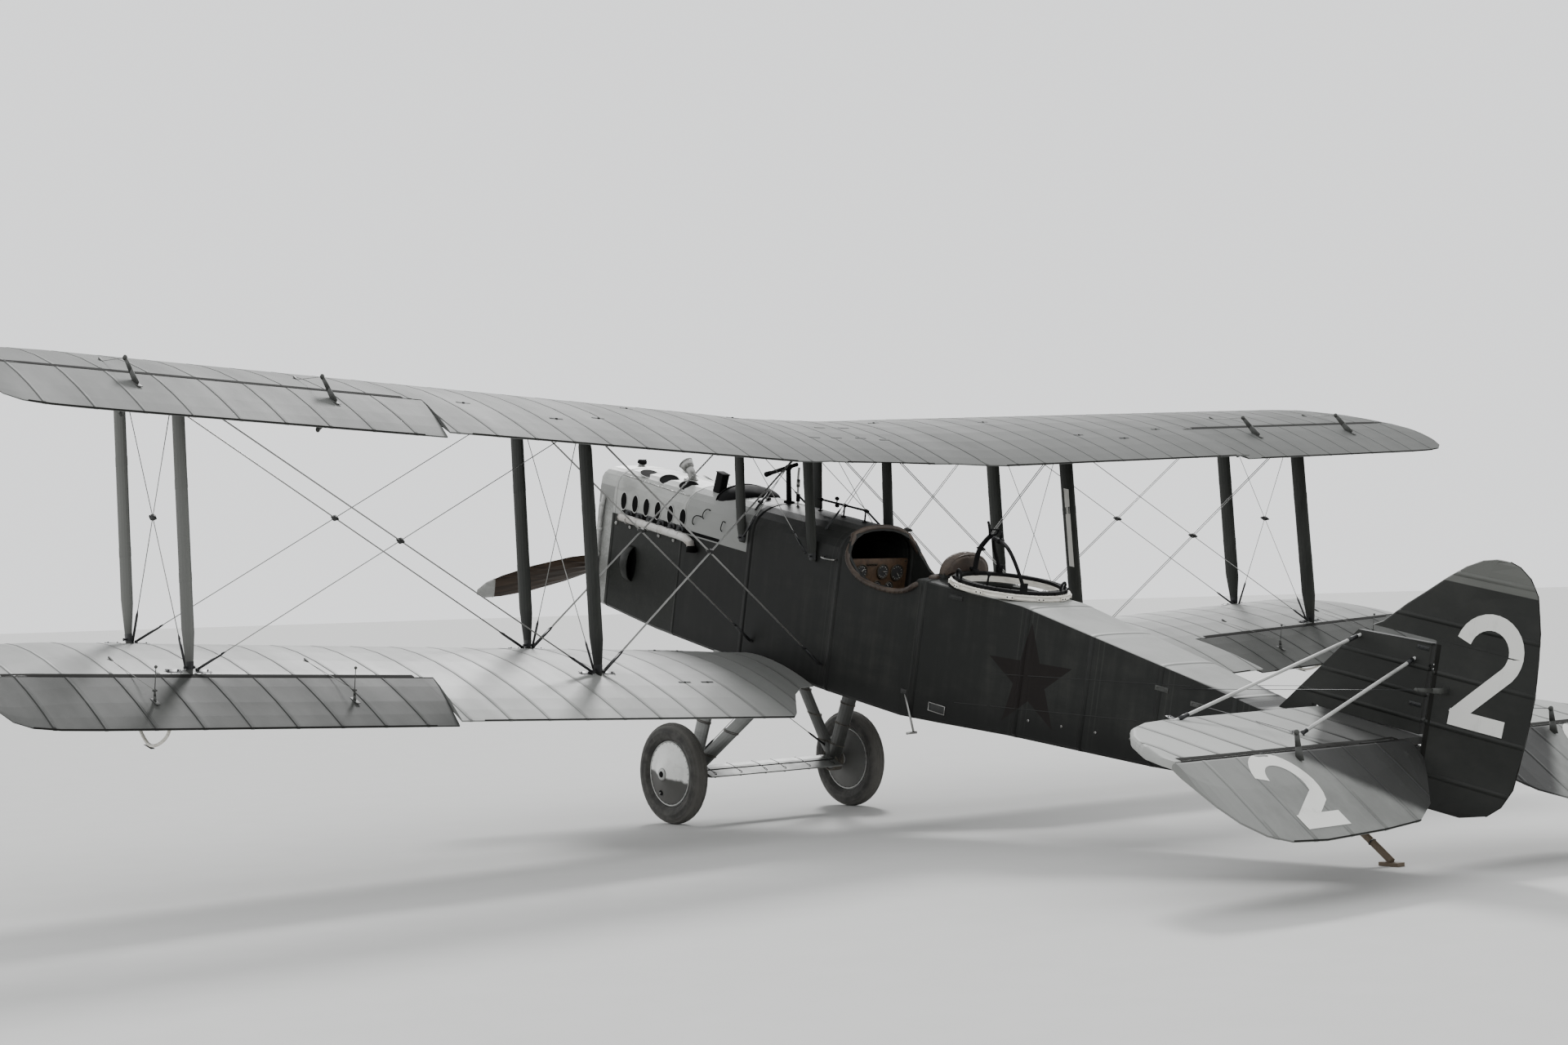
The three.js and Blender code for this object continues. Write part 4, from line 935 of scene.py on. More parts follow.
for row in ('front', 'rear'):
    left_foot, left_head = strut_ends(f'cabane_strut_{row}_left')
    right_foot, right_head = strut_ends(f'cabane_strut_{row}_right')
    for foot, head, side in ((left_foot, right_head, 1), (right_foot, left_head, -1)):
        seat = atop('fuselage_front', side * 0.30, foot.y).translation
        wire(wires, fittings, seat + raised(0.004), head + Vector((side * 0.04, 0, -0.03)), 0.003)
placed('rigging_wires', wires, wire_steel)
placed('rigging_barrels', fittings, black_metal)
placed('rigging_acorns', acorns, dark_painted)


# Roots of the wires on the wings: small folded steel plates, screwed through the covering to
# the spars on either side of every strut's foot and head.
plates = bmesh.new()
for hand, _ in SIDES:
    for place in ('inboard', 'outboard'):
        for row in ('front', 'rear'):
            foot, head = strut_ends(f'interplane_strut_{place}_{row}_{hand}')
            for end, node, toward in ((foot, f'lower_wing_{hand}', DOWN), (head, f'upper_wing_{hand}', UP)):
                for shift in (-0.10, 0.10):
                    seat = on_skin(node, (end.x + shift, end.y, 1.9), toward, (1, 0, 0))
                    block(plates, (0.105, 0.070, 0.004), seat, 0.0015, 1)
                    screws(plates, seat @ moved((0, 0, 0.002)), four(0.032, 0.022), 0.006)
placed('wing_fitting_plates', plates, black_metal)


# Hinge gaps: a dark strip along every hinge line and along the cut of each aileron's end, where the covering
# stops over the spar. The strips are painted shade for the gaps.
dark_line = Finish('dark_line_paint', Specular_IOR_Level=0.08)
dark_line_noise = dark_line.noise(dark_line.place(), 9.0, 4.0, 0.6)
dark_line_finish = dark_line.apply(dark_line.mix(dark_line_noise, (0.007, 0.007, 0.0065), (0.020, 0.020, 0.018)),
                       0.8 + dark_line_noise * 0.15, dark_line_noise, 0.0006)
noses = {}


def front_edge(node, x):
    """The foremost point of a moving surface at a station, in the level aircraft's axes."""
    if node not in noses:
        groups = {}
        for corner in corners_of(node):
            groups.setdefault(round(corner.x, 1), []).append(corner)
        front = [min(group, key=lambda seat: seat.y) for group in groups.values() if len(group) > 40]
        noses[node] = sorted(front, key=lambda seat: seat.x)
    line = noses[node]
    for first, second in zip(line, line[1:]):
        if first.x <= x <= second.x:
            return first.lerp(second, (x - first.x) / (second.x - first.x))
    return min(line, key=lambda seat: abs(seat.x - x)).copy()


def seam_strip(shape, fixed, moving, stations, half, toward=DOWN, shift=0.0):
    """A thin dark strip laid along a hinge line, on the skin of the fixed surface: painted shade for the gap.
    """
    rows = []
    for x in stations:
        edge = front_edge(moving, x)
        start_z = 5 if toward[2] < 0 else 0.2
        row = []
        for across in (-half, -half / 3, half / 3, half):
            start = Vector((x, edge.y + shift + across, start_z))
            hits = [skin_tree(node).ray_cast(start, Vector(toward))[0] for node in (fixed, moving)]
            row.append((hits[0] or hits[1]) - Vector(toward) * 0.0022)
        rows.append([shape.verts.new(spot) for spot in row])
    skinned(shape, rows)


gap_shades = bmesh.new()
for hand, side in SIDES:
    for deck in ('upper', 'lower'):
        box_low, box_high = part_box(f'{deck}_aileron_{hand}')
        inner, outer = sorted((abs(box_low[0]), abs(box_high[0])))
        stations = [side * (inner + 0.14 + (outer - inner - 0.34) * k / 14) for k in range(15)]
        for toward, half, shift in ((DOWN, 0.024, -0.026), (UP, 0.014, -0.048)):
            seam_strip(gap_shades, f'{deck}_wing_{hand}', f'{deck}_aileron_{hand}', stations, half, toward, shift)
    box_low, box_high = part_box(f'elevator_{hand}')
    inner, outer = sorted((abs(box_low[0]), abs(box_high[0])))
    stations = [side * (inner + 0.06 + (outer - inner - 0.14) * k / 10) for k in range(11)]
    for toward in (DOWN, UP):
        seam_strip(gap_shades, 'stabilizer', f'elevator_{hand}', stations, 0.030, toward, -0.024)
placed('hinge_gap_shade_strips', gap_shades, dark_line_finish)


# Trailing edges: a dark-varnished wire and cord under the covering's last lap, which shows as a
# fine dark line along every surface.
def edge_wire(name, node, body, stations, radius=0.0048):
    line = bmesh.new()
    for path in stations:
        nearest = [skin_tree(node).find_nearest(Vector(spot))[0] for spot in path]
        bent(line, nearest, radius, sides=4, smooth=False)
    placed(name, line, dark_line_finish, body)


for hand, side in SIDES:
    for deck, z in (('upper', 2.9), ('lower', 1.1)):
        edge_wire(f'{deck}_wing_edge_{hand}', f'{deck}_wing_{hand}', 'airframe',
                  [[(side * (0.47 + 0.34 * k), 8, z) for k in range(11)]])
        edge_wire(f'{deck}_aileron_edge_{hand}', f'{deck}_aileron_{hand}', f'{deck}_aileron_{hand}',
                  [[(side * (4.22 + 0.25 * k), 8, z) for k in range(9)]
                   + [(side * (6.30 + 0.12 * k), 8 - 0.55 * k, z) for k in range(1, 8)]])
    edge_wire(f'elevator_edge_{hand}', f'elevator_{hand}', 'elevators',
              [[(side * (0.35 + 0.2 * k), 12, 1.5) for k in range(8)]
               + [(side * (1.9 + 0.15 * k), 12 - 1.2 * k, 1.5) for k in range(4)]])
edge_wire('center_section_edge', 'upper_wing_center', 'airframe',
          [[(0.44 - 0.11 * k, 8, 2.7) for k in range(9)]])
turns = [0.1 + 0.16 * k for k in range(18)]
edge_wire('rudder_edge', 'rudder', 'rudder',
          [[(0, 6.3 + 3 * sin(turn), 2.3 + 3 * cos(turn)) for turn in turns]])


# Aileron horns: flat steel levers that stand above and below the upper ailerons' noses, joined
# to the lower ailerons by a wire at each bay and to the wing by the control cable.
horn_paint = dark_paint_finish('horn_paint', (0.045, 0.047, 0.043), (0.10, 0.10, 0.095), 9.0, 0.1, 0.32)
HORN_X, HORN_AFT = (4.66, 6.01), {'upper': 0.22, 'lower': 0.33}
HORN_REACH = {'upper': (0, -0.200, 0.140), 'lower': (0, -0.012, 0.065)}


def horn(shape, root, tip, wide, thin=0.010):
    """A flat lever, tapered towards the eye at its tip."""
    root, tip = Vector(root), Vector(tip)
    way = tip - root
    turn, flat = moved(root) @ facing(way), Matrix.Diagonal((thin / wide * 1.6, 1, 1, 1))
    for level, size in ((0.0, wide), (0.5, wide * 0.72)):
        bmesh.ops.create_cone(
            shape, cap_ends=True, segments=16, radius1=size / 2, radius2=size * 0.36, depth=way.length / 2,
            matrix=turn @ moved((0, 0, way.length * (level + 0.25))) @ flat)
    ball(shape, tip, wide * 0.30, (0.7, 1, 1), 10)
    rod(shape, tip - port(0.014), tip + port(0.014), 0.006, 8)


for hand, side in SIDES:
    for deck in ('upper', 'lower'):
        levers = bmesh.new()
        for x in HORN_X:
            nose = front_edge(f'{deck}_aileron_{hand}', side * x)
            above = atop(f'{deck}_aileron_{hand}', side * x, nose.y + HORN_AFT[deck]).translation
            below = on_skin(f'{deck}_aileron_{hand}', (side * x, nose.y + HORN_AFT[deck], 0.3), UP).translation
            for root, sign in ((above, 1), (below, -1)):
                reach = Vector(HORN_REACH[deck]) * Vector((1, 1, sign))
                horn(levers, root - raised(0.004 * sign), root + reach, 0.066 if deck == 'upper' else 0.040)
                if deck == 'lower' and sign > 0:
                    rod(levers, root + reach, root + Vector((0, -0.022, 0.205)), 0.0028, 8)
                    ball(levers, root + Vector((0, -0.022, 0.208)), 0.0105, (1, 1, 1), 10)
                block(levers, (0.030, 0.100, 0.005), moved(root + Vector((0, 0.006, 0.0022 * sign)))
                      @ turned(-9, 'X'), 0.002)
        placed(f'{deck}_aileron_horns_{hand}', levers, horn_paint, f'{deck}_aileron_{hand}')


# Aileron cables: a wire from a faired pulley on the wing to each horn's eye.
cable_steel = dark_paint_finish('control_cable', (0.20, 0.20, 0.19), (0.13, 0.125, 0.12), 20.0, 0.6, 0.25)
fairleads = bmesh.new()
for hand, side in SIDES:
    for deck in ('upper', 'lower'):
        cables = bmesh.new()
        for x in HORN_X:
            nose = front_edge(f'{deck}_aileron_{hand}', side * x)
            for start_z, toward, sign in ((5, DOWN, 1), (0.3, UP, -1)):
                start = (side * x, nose.y + HORN_AFT[deck], start_z)
                root = on_skin(f'{deck}_aileron_{hand}', start, toward).translation
                eye = root + Vector(HORN_REACH[deck]) * Vector((1, 1, sign))
                lead = on_skin(f'{deck}_wing_{hand}', (side * x, nose.y - 0.34, start_z), toward, (0, 1, 0))
                block(fairleads, (0.060, 0.016, 0.012), lead @ moved((0, 0, 0.003)), 0.004, 2)
                rod(cables, lead @ Vector((0.02, 0, 0.004)), eye, 0.0020, 6)
        piece = placed(f'{deck}_aileron_cables_{hand}', cables, cable_steel, None)
        parked @ Vector((side * 5, nose.y - 0.32, eye.z))
        parked @ Vector((side * 5, eye.y, eye.z))
        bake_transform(piece)
placed('aileron_fairleads', fairleads, horn_paint)


# Cockpit padding: rolled leather over horsehair, laced round the pilot's opening and the board's
# edge, with a stuffed headrest, and stuffed cushions on both seats.
hide = Finish('worn_hide', Specular_IOR_Level=0.45)
hide_place = hide.place()
grain = hide.node('TexVoronoi', {}, {'Vector': hide_place, 'Scale': 210.0})
creases = hide.noise(hide.place((1, 1, 1.6)), 14.0, 6.0, 0.7)
wear = hide.noise(hide_place, 5.0, 4.0, 0.6)
hide_colour = hide.mix(hide.ease(wear, 0.38, 0.68), (0.032, 0.022, 0.016), (0.070, 0.050, 0.036))
hide_colour = hide.mix(hide.ease(creases, 0.56, 0.70) * 0.6, hide_colour, (0.015, 0.010, 0.008))
worn_hide = hide.apply(hide_colour, 0.42 + wear * 0.3, creases + grain * 0.22, 0.0014)


PRESSURE, MOMENTS = 4, 20


def stuffed(name, shape, material=worn_hide, cap=0.010, voxel=0.006):
    """A pad: its form swells under pressure, within a cap, and is then smoothed."""
    piece = placed(name, shape, material)
    remesh = piece.modifiers.new('remesh', 'REMESH')
    remesh.mode, remesh.voxel_size = 'VOXEL', voxel
    graph = bpy.context.evaluated_depsgraph_get()
    dense = bpy.data.meshes.new_from_object(piece.evaluated_get(graph))
    piece.modifiers.clear()
    piece.data = dense
    dense.materials.clear()
    dense.materials.append(material)
    before = [vert.co.copy() for vert in dense.vertices]
    cloth = piece.modifiers.new('cloth', 'CLOTH')
    cloth.settings.use_pressure, cloth.settings.uniform_pressure_force = True, PRESSURE
    cloth.settings.effector_weights.gravity = 0
    for moment in range(1, MOMENTS + 1):
        bpy.context.scene.frame_set(moment)
    swollen = piece.evaluated_get(bpy.context.evaluated_depsgraph_get()).data
    after = [vert.co.copy() for vert in swollen.vertices]
    piece.modifiers.clear()
    bpy.context.scene.frame_set(1)
    for vert, start, end in zip(dense.vertices, before, after):
        push = end - start
        vert.co = start + push * min(1, cap / max(push.length, 1e-9))
    for face in dense.polygons:
        face.use_smooth = True
    soft = piece.modifiers.new('soft', 'SUBSURF')
    soft.levels = soft.render_levels = 1
    return piece


COCKPIT_EDGE = ((1.095, 2.12), (1.160, 1.96), (1.290, 1.85), (1.440, 1.812), (1.700, 1.812), (1.830, 1.848),
                (1.920, 1.905), (1.962, 1.965))


def rim_side(side):
    """The pilot's cockpit edge on one side, from the middle of its front to the middle of its back."""
    line = [atop('fuselage_front', side * x, 1.078).translation for x in (0.0, 0.10, 0.20, 0.29)]
    for y, z in COCKPIT_EDGE:
        nudge = -0.012 if y < 1.4 else (0.012 if y > 1.8 else 0)
        line.append(beside('fuselage_front', side, y + nudge, z - 0.012).translation)
    line += [atop('fuselage_front', side * x, 1.990).translation for x in (0.29, 0.20, 0.10, 0.0)]
    return line


port_rim, starboard_rim = rim_side(1), rim_side(-1)
loop = port_rim + starboard_rim[-2:0:-1]
coaming = bmesh.new()
bent(coaming, loop, 0.021, closed=True, sides=16)
stuffed('pilot_coaming', coaming, cap=0.006, voxel=0.006)
lacing = bmesh.new()
for start, end in zip(loop, loop[1:] + loop[:1]):
    steps = max(int((end - start).length / 0.045), 1)
    for step in range(steps):
        knot = start.lerp(end, (step + 0.5) / steps)
        outward = Vector((knot.x * 1.6, knot.y - 1.55, 0)).normalized()
        rod(lacing, knot + outward * 0.014 + raised(-0.024), knot + outward * 0.028 + raised(-0.004), 0.0028, 6)
placed('coaming_lacing', lacing, worn_hide)


# Headrest: a half-round pad of hide over ply, standing on the deck behind the pilot, with a
# piped edge on both faces and a row of brass nails.
def half_round(y, scale):
    turns = [pi * k / 20 for k in range(21)]
    return [(0.240 * scale * cos(turn), y, 1.982 + 0.176 * scale * sin(turn) ** 0.8) for turn in turns]


pad = bmesh.new()
stations = ((1.984, 0.80), (1.996, 0.965), (2.022, 1.0), (2.050, 0.97), (2.066, 0.84))
lofted(pad, [[pad.verts.new(spot) for spot in half_round(*station)] for station in stations], clockwise=True)
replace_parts(stuffed('headrest_pad', pad, cap=0.008, voxel=0.005), 'headrest')
piping = bmesh.new()
for station in ((1.990, 0.875), (2.062, 0.870)):
    bent(piping, half_round(*station), 0.005)
for k in range(2, 19):
    turn = pi * k / 20
    ball(piping, (0.185 * cos(turn), 2.068, 1.982 + 0.136 * sin(turn) ** 0.8), 0.006, (1, 0.5, 1), 8)
placed('headrest_piping', piping, worn_hide)
fairing, sections = bmesh.new(), []
for k in range(15):
    x = -0.229 + 0.458 * k / 14
    deck_z = [atop('fuselage_front', x, y).translation.z - 0.003 for y in (1.996, 2.056)]
    sections.append([fairing.verts.new(spot) for spot in (
        (x, 1.996, deck_z[0]), (x, 2.056, deck_z[1]), (x, 2.052, 2.000), (x, 2.000, 2.000))])
lofted(fairing, sections)
placed('headrest_fairing', fairing, dark_painted, smooth=False)


# Pilot's seat: a ply bucket on a box frame, varnished, with a buttoned seat cushion and a back
# cushion, and broad webbing belts with steel buckles lying over it.
ply = Finish('varnished_ply', Coat_Weight=0.25, Coat_Roughness=0.25)
ply_place = ply.place((9.0, 1.0, 9.0))
rays = ply.noise(ply_place, 3.0, 6.0, 0.6)
ply_tone = ply.noise(ply.place(), 2.0, 3.0)
varnished_ply = ply.apply(ply.mix(ply.ease(rays, 0.35, 0.7), (0.085, 0.050, 0.027), (0.045, 0.026, 0.014)),
                          0.35 + ply_tone * 0.2, rays, 0.0004)
bucket = bmesh.new()
FLOOR_Z, SEAT_Z = 0.925, 1.310
for side in (1, -1):
    for y in (1.372, 1.672):
        block(bucket, (0.030, 0.030, SEAT_Z - FLOOR_Z - 0.03),
              moved((side * 0.170, y, (SEAT_Z + FLOOR_Z) / 2 - 0.01)), 0.003)
    block(bucket, (0.014, 0.300, 0.130), moved((side * 0.178, 1.550, SEAT_Z + 0.065)), 0.006)
    block(bucket, (0.018, 0.290, 0.045), moved((side * 0.172, 1.520, 1.05)), 0.003)
block(bucket, (0.372, 0.330, 0.016), moved((0, 1.522, SEAT_Z - 0.010)), 0.004)
for y in (1.372, 1.672):
    block(bucket, (0.33, 0.016, 0.05), moved((0, y, SEAT_Z - 0.045)), 0.003)
    block(bucket, (0.33, 0.016, 0.04), moved((0, y, 1.00)), 0.003)
back = moved((0, 1.712, 1.545)) @ turned(-11.5, 'X')
block(bucket, (0.372, 0.016, 0.490), back, 0.006)
for side in (1, -1):
    block(bucket, (0.016, 0.060, 0.470), back @ moved((side * 0.178, -0.030, -0.005)), 0.006)
bent(bucket, [back @ Vector((x, 0, 0.243)) for x in (-0.18, -0.06, 0.06, 0.18)], 0.012)
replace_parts(placed('pilot_seat_bucket', bucket, varnished_ply), 'pilot_seat')


def cushion(size, matrix, pinch=0.10):
    """A crowned box form whose sides draw in between its corners."""
    shape = bmesh.new()
    bmesh.ops.create_cube(shape, size=1.0)
    bmesh.ops.subdivide_edges(shape, edges=shape.edges[:], cuts=5, use_grid_fill=True)
    for vert in shape.verts:
        x, y, z = vert.co * 2
        crown = (1 - x ** 4) * (1 - y ** 4)
        drawn_x, drawn_y = [1 - pinch * 0.35 * (1 - abs(other) ** 2) for other in (y, x)]
        vert.co = Vector((x * drawn_x, y * drawn_y, z * (0.62 + 0.38 * crown))) / 2
    shape.transform(matrix @ Matrix.Diagonal((*size, 1)))
    return shape


stuffed('pilot_seat_cushion', cushion((0.325, 0.290, 0.060), moved((0, 1.530, SEAT_Z + 0.034))), cap=0.012)
stuffed('pilot_back_cushion', cushion((0.315, 0.360, 0.042), back @ moved((0, -0.036, 0.035))
                                      @ turned(90, 'X')), cap=0.010)
buttons, belts, buckles = bmesh.new(), bmesh.new(), bmesh.new()
for x in (-0.08, 0.0, 0.08):
    for y in (1.47, 1.59):
        ball(buttons, (x, y, SEAT_Z + 0.069), 0.008, (1, 1, 0.45), 10)
    for height in (-0.05, 0.11):
        ball(buttons, back @ Vector((x, -0.061, height)), 0.008, (1, 0.5, 1), 10)
placed('cushion_buttons', buttons, worn_hide)
for side in (1, -1):
    line = [back @ Vector((side * 0.085, -0.012, 0.25)), back @ Vector((side * 0.085, -0.068, 0.17)),
            back @ Vector((side * 0.085, -0.070, -0.05)), (side * 0.10, 1.585, SEAT_Z + 0.082),
            (side * 0.12, 1.48, SEAT_Z + 0.078)]
    line = [Vector(point) for point in line]
    for start, end in zip(line, line[1:]):
        way = end - start
        matrix = moved((start + end) / 2) @ facing(way)
        flat = matrix.to_3x3().inverted() @ Vector((1, 0, 0))
        matrix = matrix @ Matrix.Rotation(-Vector((flat.x, flat.y)).angle_signed(Vector((1, 0))), 4, 'Z')
        block(belts, (0.048, 0.0035, way.length + 0.006), matrix, 0.0012, 1)
    seat_at = moved(line[-1] + raised(0.004))
    for way in (1, -1):
        block(buckles, (0.062, 0.008, 0.006), seat_at @ moved((0, way * 0.022, 0)), 0.002)
        block(buckles, (0.008, 0.05, 0.006), seat_at @ moved((way * 0.029, 0, 0)), 0.002)
webbing = Finish('belt_webbing')
weave_u = webbing.node('TexWave', {'wave_type': 'BANDS', 'bands_direction': 'DIAGONAL'},
                       {'Vector': webbing.place(), 'Scale': 120.0})
web_wear = webbing.noise(webbing.place(), 12.0, 4.0)
belt_web = webbing.apply(webbing.mix(webbing.ease(web_wear, 0.35, 0.7), (0.23, 0.21, 0.15), (0.12, 0.11, 0.08)),
                         0.8 + web_wear * 0.1, weave_u, 0.0006)
placed('pilot_belts', belts, belt_web, smooth=False)
placed('belt_buckles', buckles, bare_steel)


# Observer's stool: a round buttoned cushion on a turned post with a flanged foot, which stands
# ahead of the ring's middle.
STOOL_Y = 2.39
stool_base = bmesh.new()
for low, high, first, second in (
        (0.968, 0.982, 0.095, 0.090), (0.982, 1.03, 0.060, 0.036), (1.03, 1.40, 0.034, 0.034),
        (1.40, 1.444, 0.036, 0.085), (1.444, 1.458, 0.166, 0.166)):
    rod(stool_base, (0, STOOL_Y, low), (0, STOOL_Y, high), first, 28, second)
for k in range(6):
    ball(stool_base, (0.076 * cos(pi * k / 3), STOOL_Y + 0.076 * sin(pi * k / 3), 0.984), 0.008, (1, 1, 0.6), 8)
placed('observer_stool_post', stool_base, dark_painted)
round_pad = bmesh.new()
turns = [pi * k / 14 for k in range(28)]
lofted(round_pad, [[round_pad.verts.new((radius * cos(turn), STOOL_Y + radius * sin(turn), z))
                    for turn in turns]
                   for z, radius in ((1.459, 0.135), (1.461, 0.156), (1.476, 0.163),
                                     (1.488, 0.156), (1.494, 0.130), (1.4965, 0.06))])
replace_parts(stuffed('observer_seat_cushion', round_pad, cap=0.006), 'observer_seat')
piping = bmesh.new()
bent(piping, circle(moved((0, STOOL_Y, 1.476)), 0.166, count=24), 0.0045, closed=True)
ball(piping, (0, STOOL_Y, 1.500), 0.012, (1, 1, 0.5), 12)
placed('observer_cushion_piping', piping, worn_hide)


# Instrument board: varnished wood with plain dials, numbered by ticks only, brass switches, a
# hand pump and a compass, all facing the pilot.
finish_nodes(varnished_ply, 'instrument_board')
dial_ring = dark_paint_finish('dull_brass', (0.055, 0.047, 0.034), (0.028, 0.024, 0.019), 16.0, 0.6, 0.35)
dial_face = dark_paint_finish('dial_face', (0.020, 0.020, 0.020), (0.030, 0.030, 0.029), 8.0, 0.0, 0.30)
dial_white = dark_paint_finish('dial_white', (0.62, 0.61, 0.56), (0.50, 0.48, 0.42), 8.0, 0.0, 0.35)
BOARD_FACE = 1.0245
faces, bezels, marks = bmesh.new(), bmesh.new(), bmesh.new()
DIALS = ((-0.255, 1.80, 0.062), (-0.105, 1.81, 0.055), (0.115, 1.81, 0.055), (0.255, 1.80, 0.062),
         (-0.185, 1.69, 0.040), (-0.06, 1.70, 0.036), (0.075, 1.70, 0.036), (0.195, 1.69, 0.040))
for number, (x, z, radius) in enumerate(DIALS):
    rod(faces, (x, BOARD_FACE - 0.001, z), (x, BOARD_FACE + 0.006, z), radius * 0.92, 32)
    bent(bezels, [(x + radius * cos(pi * k / 12), BOARD_FACE + 0.006, z + radius * sin(pi * k / 12))
                  for k in range(24)], 0.006, closed=True)
    for tick in range(11):
        angle = radians(-225 + 27 * tick)
        near, far = radius * 0.68, radius * 0.84
        block(marks, (0.0022, 0.001, far - near), moved((x, BOARD_FACE + 0.0066, z)) @ Matrix.Rotation(
            angle, 4, 'Y') @ moved((0, 0, (near + far) / 2)))
    needle = moved((x, BOARD_FACE + 0.0074, z)) @ turned(-140 + 47 * number % 260, 'Y')
    block(marks, (0.0026, 0.001, radius * 0.66), needle @ moved((0, 0, radius * 0.26)))
    rod(bezels, (x, BOARD_FACE + 0.006, z), (x, BOARD_FACE + 0.0095, z), 0.0045, 12)
for k in range(4):
    x = -0.03 + 0.028 * k
    rod(bezels, (x, BOARD_FACE, 1.865), (x, BOARD_FACE + 0.009, 1.865), 0.009, 16)
    rod(bezels, (x, BOARD_FACE + 0.008, 1.865), (x, BOARD_FACE + 0.024, 1.865 + 0.010), 0.003, 8)
screws(bezels, moved((0, BOARD_FACE, 1.766)) @ turned(90, 'X'),
       four(0.338, 0.125), 0.007)
rod(bezels, (0.32, BOARD_FACE, 1.69), (0.32, BOARD_FACE + 0.075, 1.69), 0.013, 16)
ball(bezels, (0.32, BOARD_FACE + 0.085, 1.69), 0.019, (1, 0.8, 1), 14)
placed('dial_faces', faces, dial_face, smooth=False)
placed('dial_bezels_and_switches', bezels, dial_ring)
placed('dial_marks', marks, dial_white, smooth=False)


# Pilot's controls: a stick with a corded grip in a boot on the floor, a rudder bar with toe
# straps, a throttle quadrant on the port wall and a trim wheel on the starboard wall.
controls, grips = bmesh.new(), bmesh.new()
bent(controls, [(0, 1.215, 0.925), (0, 1.210, 1.10), (0, 1.195, 1.30), (0, 1.175, 1.42)], 0.013, sides=12)
rod(controls, (0, 1.215, 0.922), (0, 1.215, 0.945), 0.055, 20, 0.040)
rod(controls, (0, 1.215, 0.945), (0, 1.213, 1.005), 0.038, 20, 0.015)
bent(grips, [(0.0, 1.176, 1.415), (0.045, 1.170, 1.440), (0.052, 1.160, 1.500), (0.0, 1.152, 1.530),
             (-0.052, 1.160, 1.500), (-0.045, 1.170, 1.440)], 0.0125, closed=True, sides=12)
block(controls, (0.46, 0.042, 0.028), moved((0, 0.62, 1.03)), 0.010, 3)
rod(controls, (0, 0.62, 0.915), (0, 0.62, 1.05), 0.022, 16)
for side in (1, -1):
    bent(grips, [(side * x, y, z) for x, y, z in (
        (0.13, 0.600, 1.045), (0.14, 0.585, 1.11), (0.20, 0.585, 1.11), (0.21, 0.600, 1.045))], 0.006)
quadrant = moved((0.349, 1.30, 1.64))
block(controls, (0.016, 0.17, 0.10), quadrant, 0.006)
for turn, height in ((-24, 0.13), (14, 0.115)):
    lever = quadrant @ moved((-0.014, 0, -0.01)) @ turned(turn, 'X')
    rod(controls, lever.translation, lever @ Vector((-0.006, 0, height)), 0.005, 10)
    ball(grips, lever @ Vector((-0.008, 0, height + 0.008)), 0.015, (1, 1, 1), 14)
hub = moved((-0.335, 1.42, 1.50)) @ turned(90, 'Y')
bent(grips, circle(hub, 0.085, count=24), 0.009, closed=True, sides=12)
for spoke_end in circle(hub, 0.08, count=5):
    rod(controls, hub.translation, spoke_end, 0.005, 8)
rod(controls, hub @ raised(-0.028), hub @ raised(0.012), 0.016, 14)
placed('pilot_controls', controls, black_metal)
placed('control_grips', grips, varnished_ply)


# Observer's ring: a pale varnished ash hoop on blocks, a black steel rack let into its top, and
# the turning ring over it with rollers, a brake lever, a sprung arm and a forked bow.
ash = Finish('pale_ash', Coat_Weight=0.15, Coat_Roughness=0.3)
ash_grain = ash.noise(ash.place((5.0, 5.0, 30.0)), 3.0, 6.0, 0.6)
ash_spots = ash.noise(ash.place(), 7.0, 5.0, 0.65)
ash_colour = ash.mix(ash.ease(ash_grain, 0.35, 0.7), (0.74, 0.72, 0.66), (0.54, 0.51, 0.45))
pale_ash = ash.apply(ash.mix(ash.ease(ash_spots, 0.55, 0.75) * 0.6, ash_colour, (0.20, 0.18, 0.15)),
                     0.4 + ash_spots * 0.25, ash_grain + ash_spots * 0.5, 0.0008)
finish_nodes(pale_ash, 'gun_ring_base')
finish_nodes(dull_black, 'gun_ring', 'gun_bow')
RING_Y = 2.51
base = corners_of('gun_ring_base')
base_low, base_top = min(corner.z for corner in base), max(corner.z for corner in base)


def around(radius, angle, z):
    return Vector((radius * cos(angle), RING_Y + radius * sin(angle), z))


hoop_trim, rack = bmesh.new(), bmesh.new()
reach_out = max(abs(corner.x) for corner in base)
for z in (base_low + 0.010, base_top - 0.006):
    bent(hoop_trim, [around(reach_out + 0.001, 2 * pi * k / 32, z) for k in range(32)], 0.0065, closed=True)
for k in range(72):
    angle = 2 * pi * k / 72
    block(rack, (0.010, 0.014, 0.006), moved(around(reach_out - 0.020, angle, base_top + 0.002))
          @ Matrix.Rotation(angle, 4, 'Z'), 0.001, 1)
for k in range(12):
    angle = 2 * pi * (k + 0.5) / 12
    foot = around(reach_out + 0.006, angle, base_low + 0.016)
    block(hoop_trim, (0.020, 0.060, 0.026), moved(foot) @ Matrix.Rotation(angle, 4, 'Z'), 0.004)
    for shift in (-0.018, 0.018):
        bolt = foot + Matrix.Rotation(angle, 3, 'Z') @ Vector((0.010, shift, 0.002))
        ball(rack, bolt, 0.0055, (1, 1, 1), 8)
placed('ring_base_trim', hoop_trim, pale_ash)
placed('ring_rack_teeth', rack, dull_black)

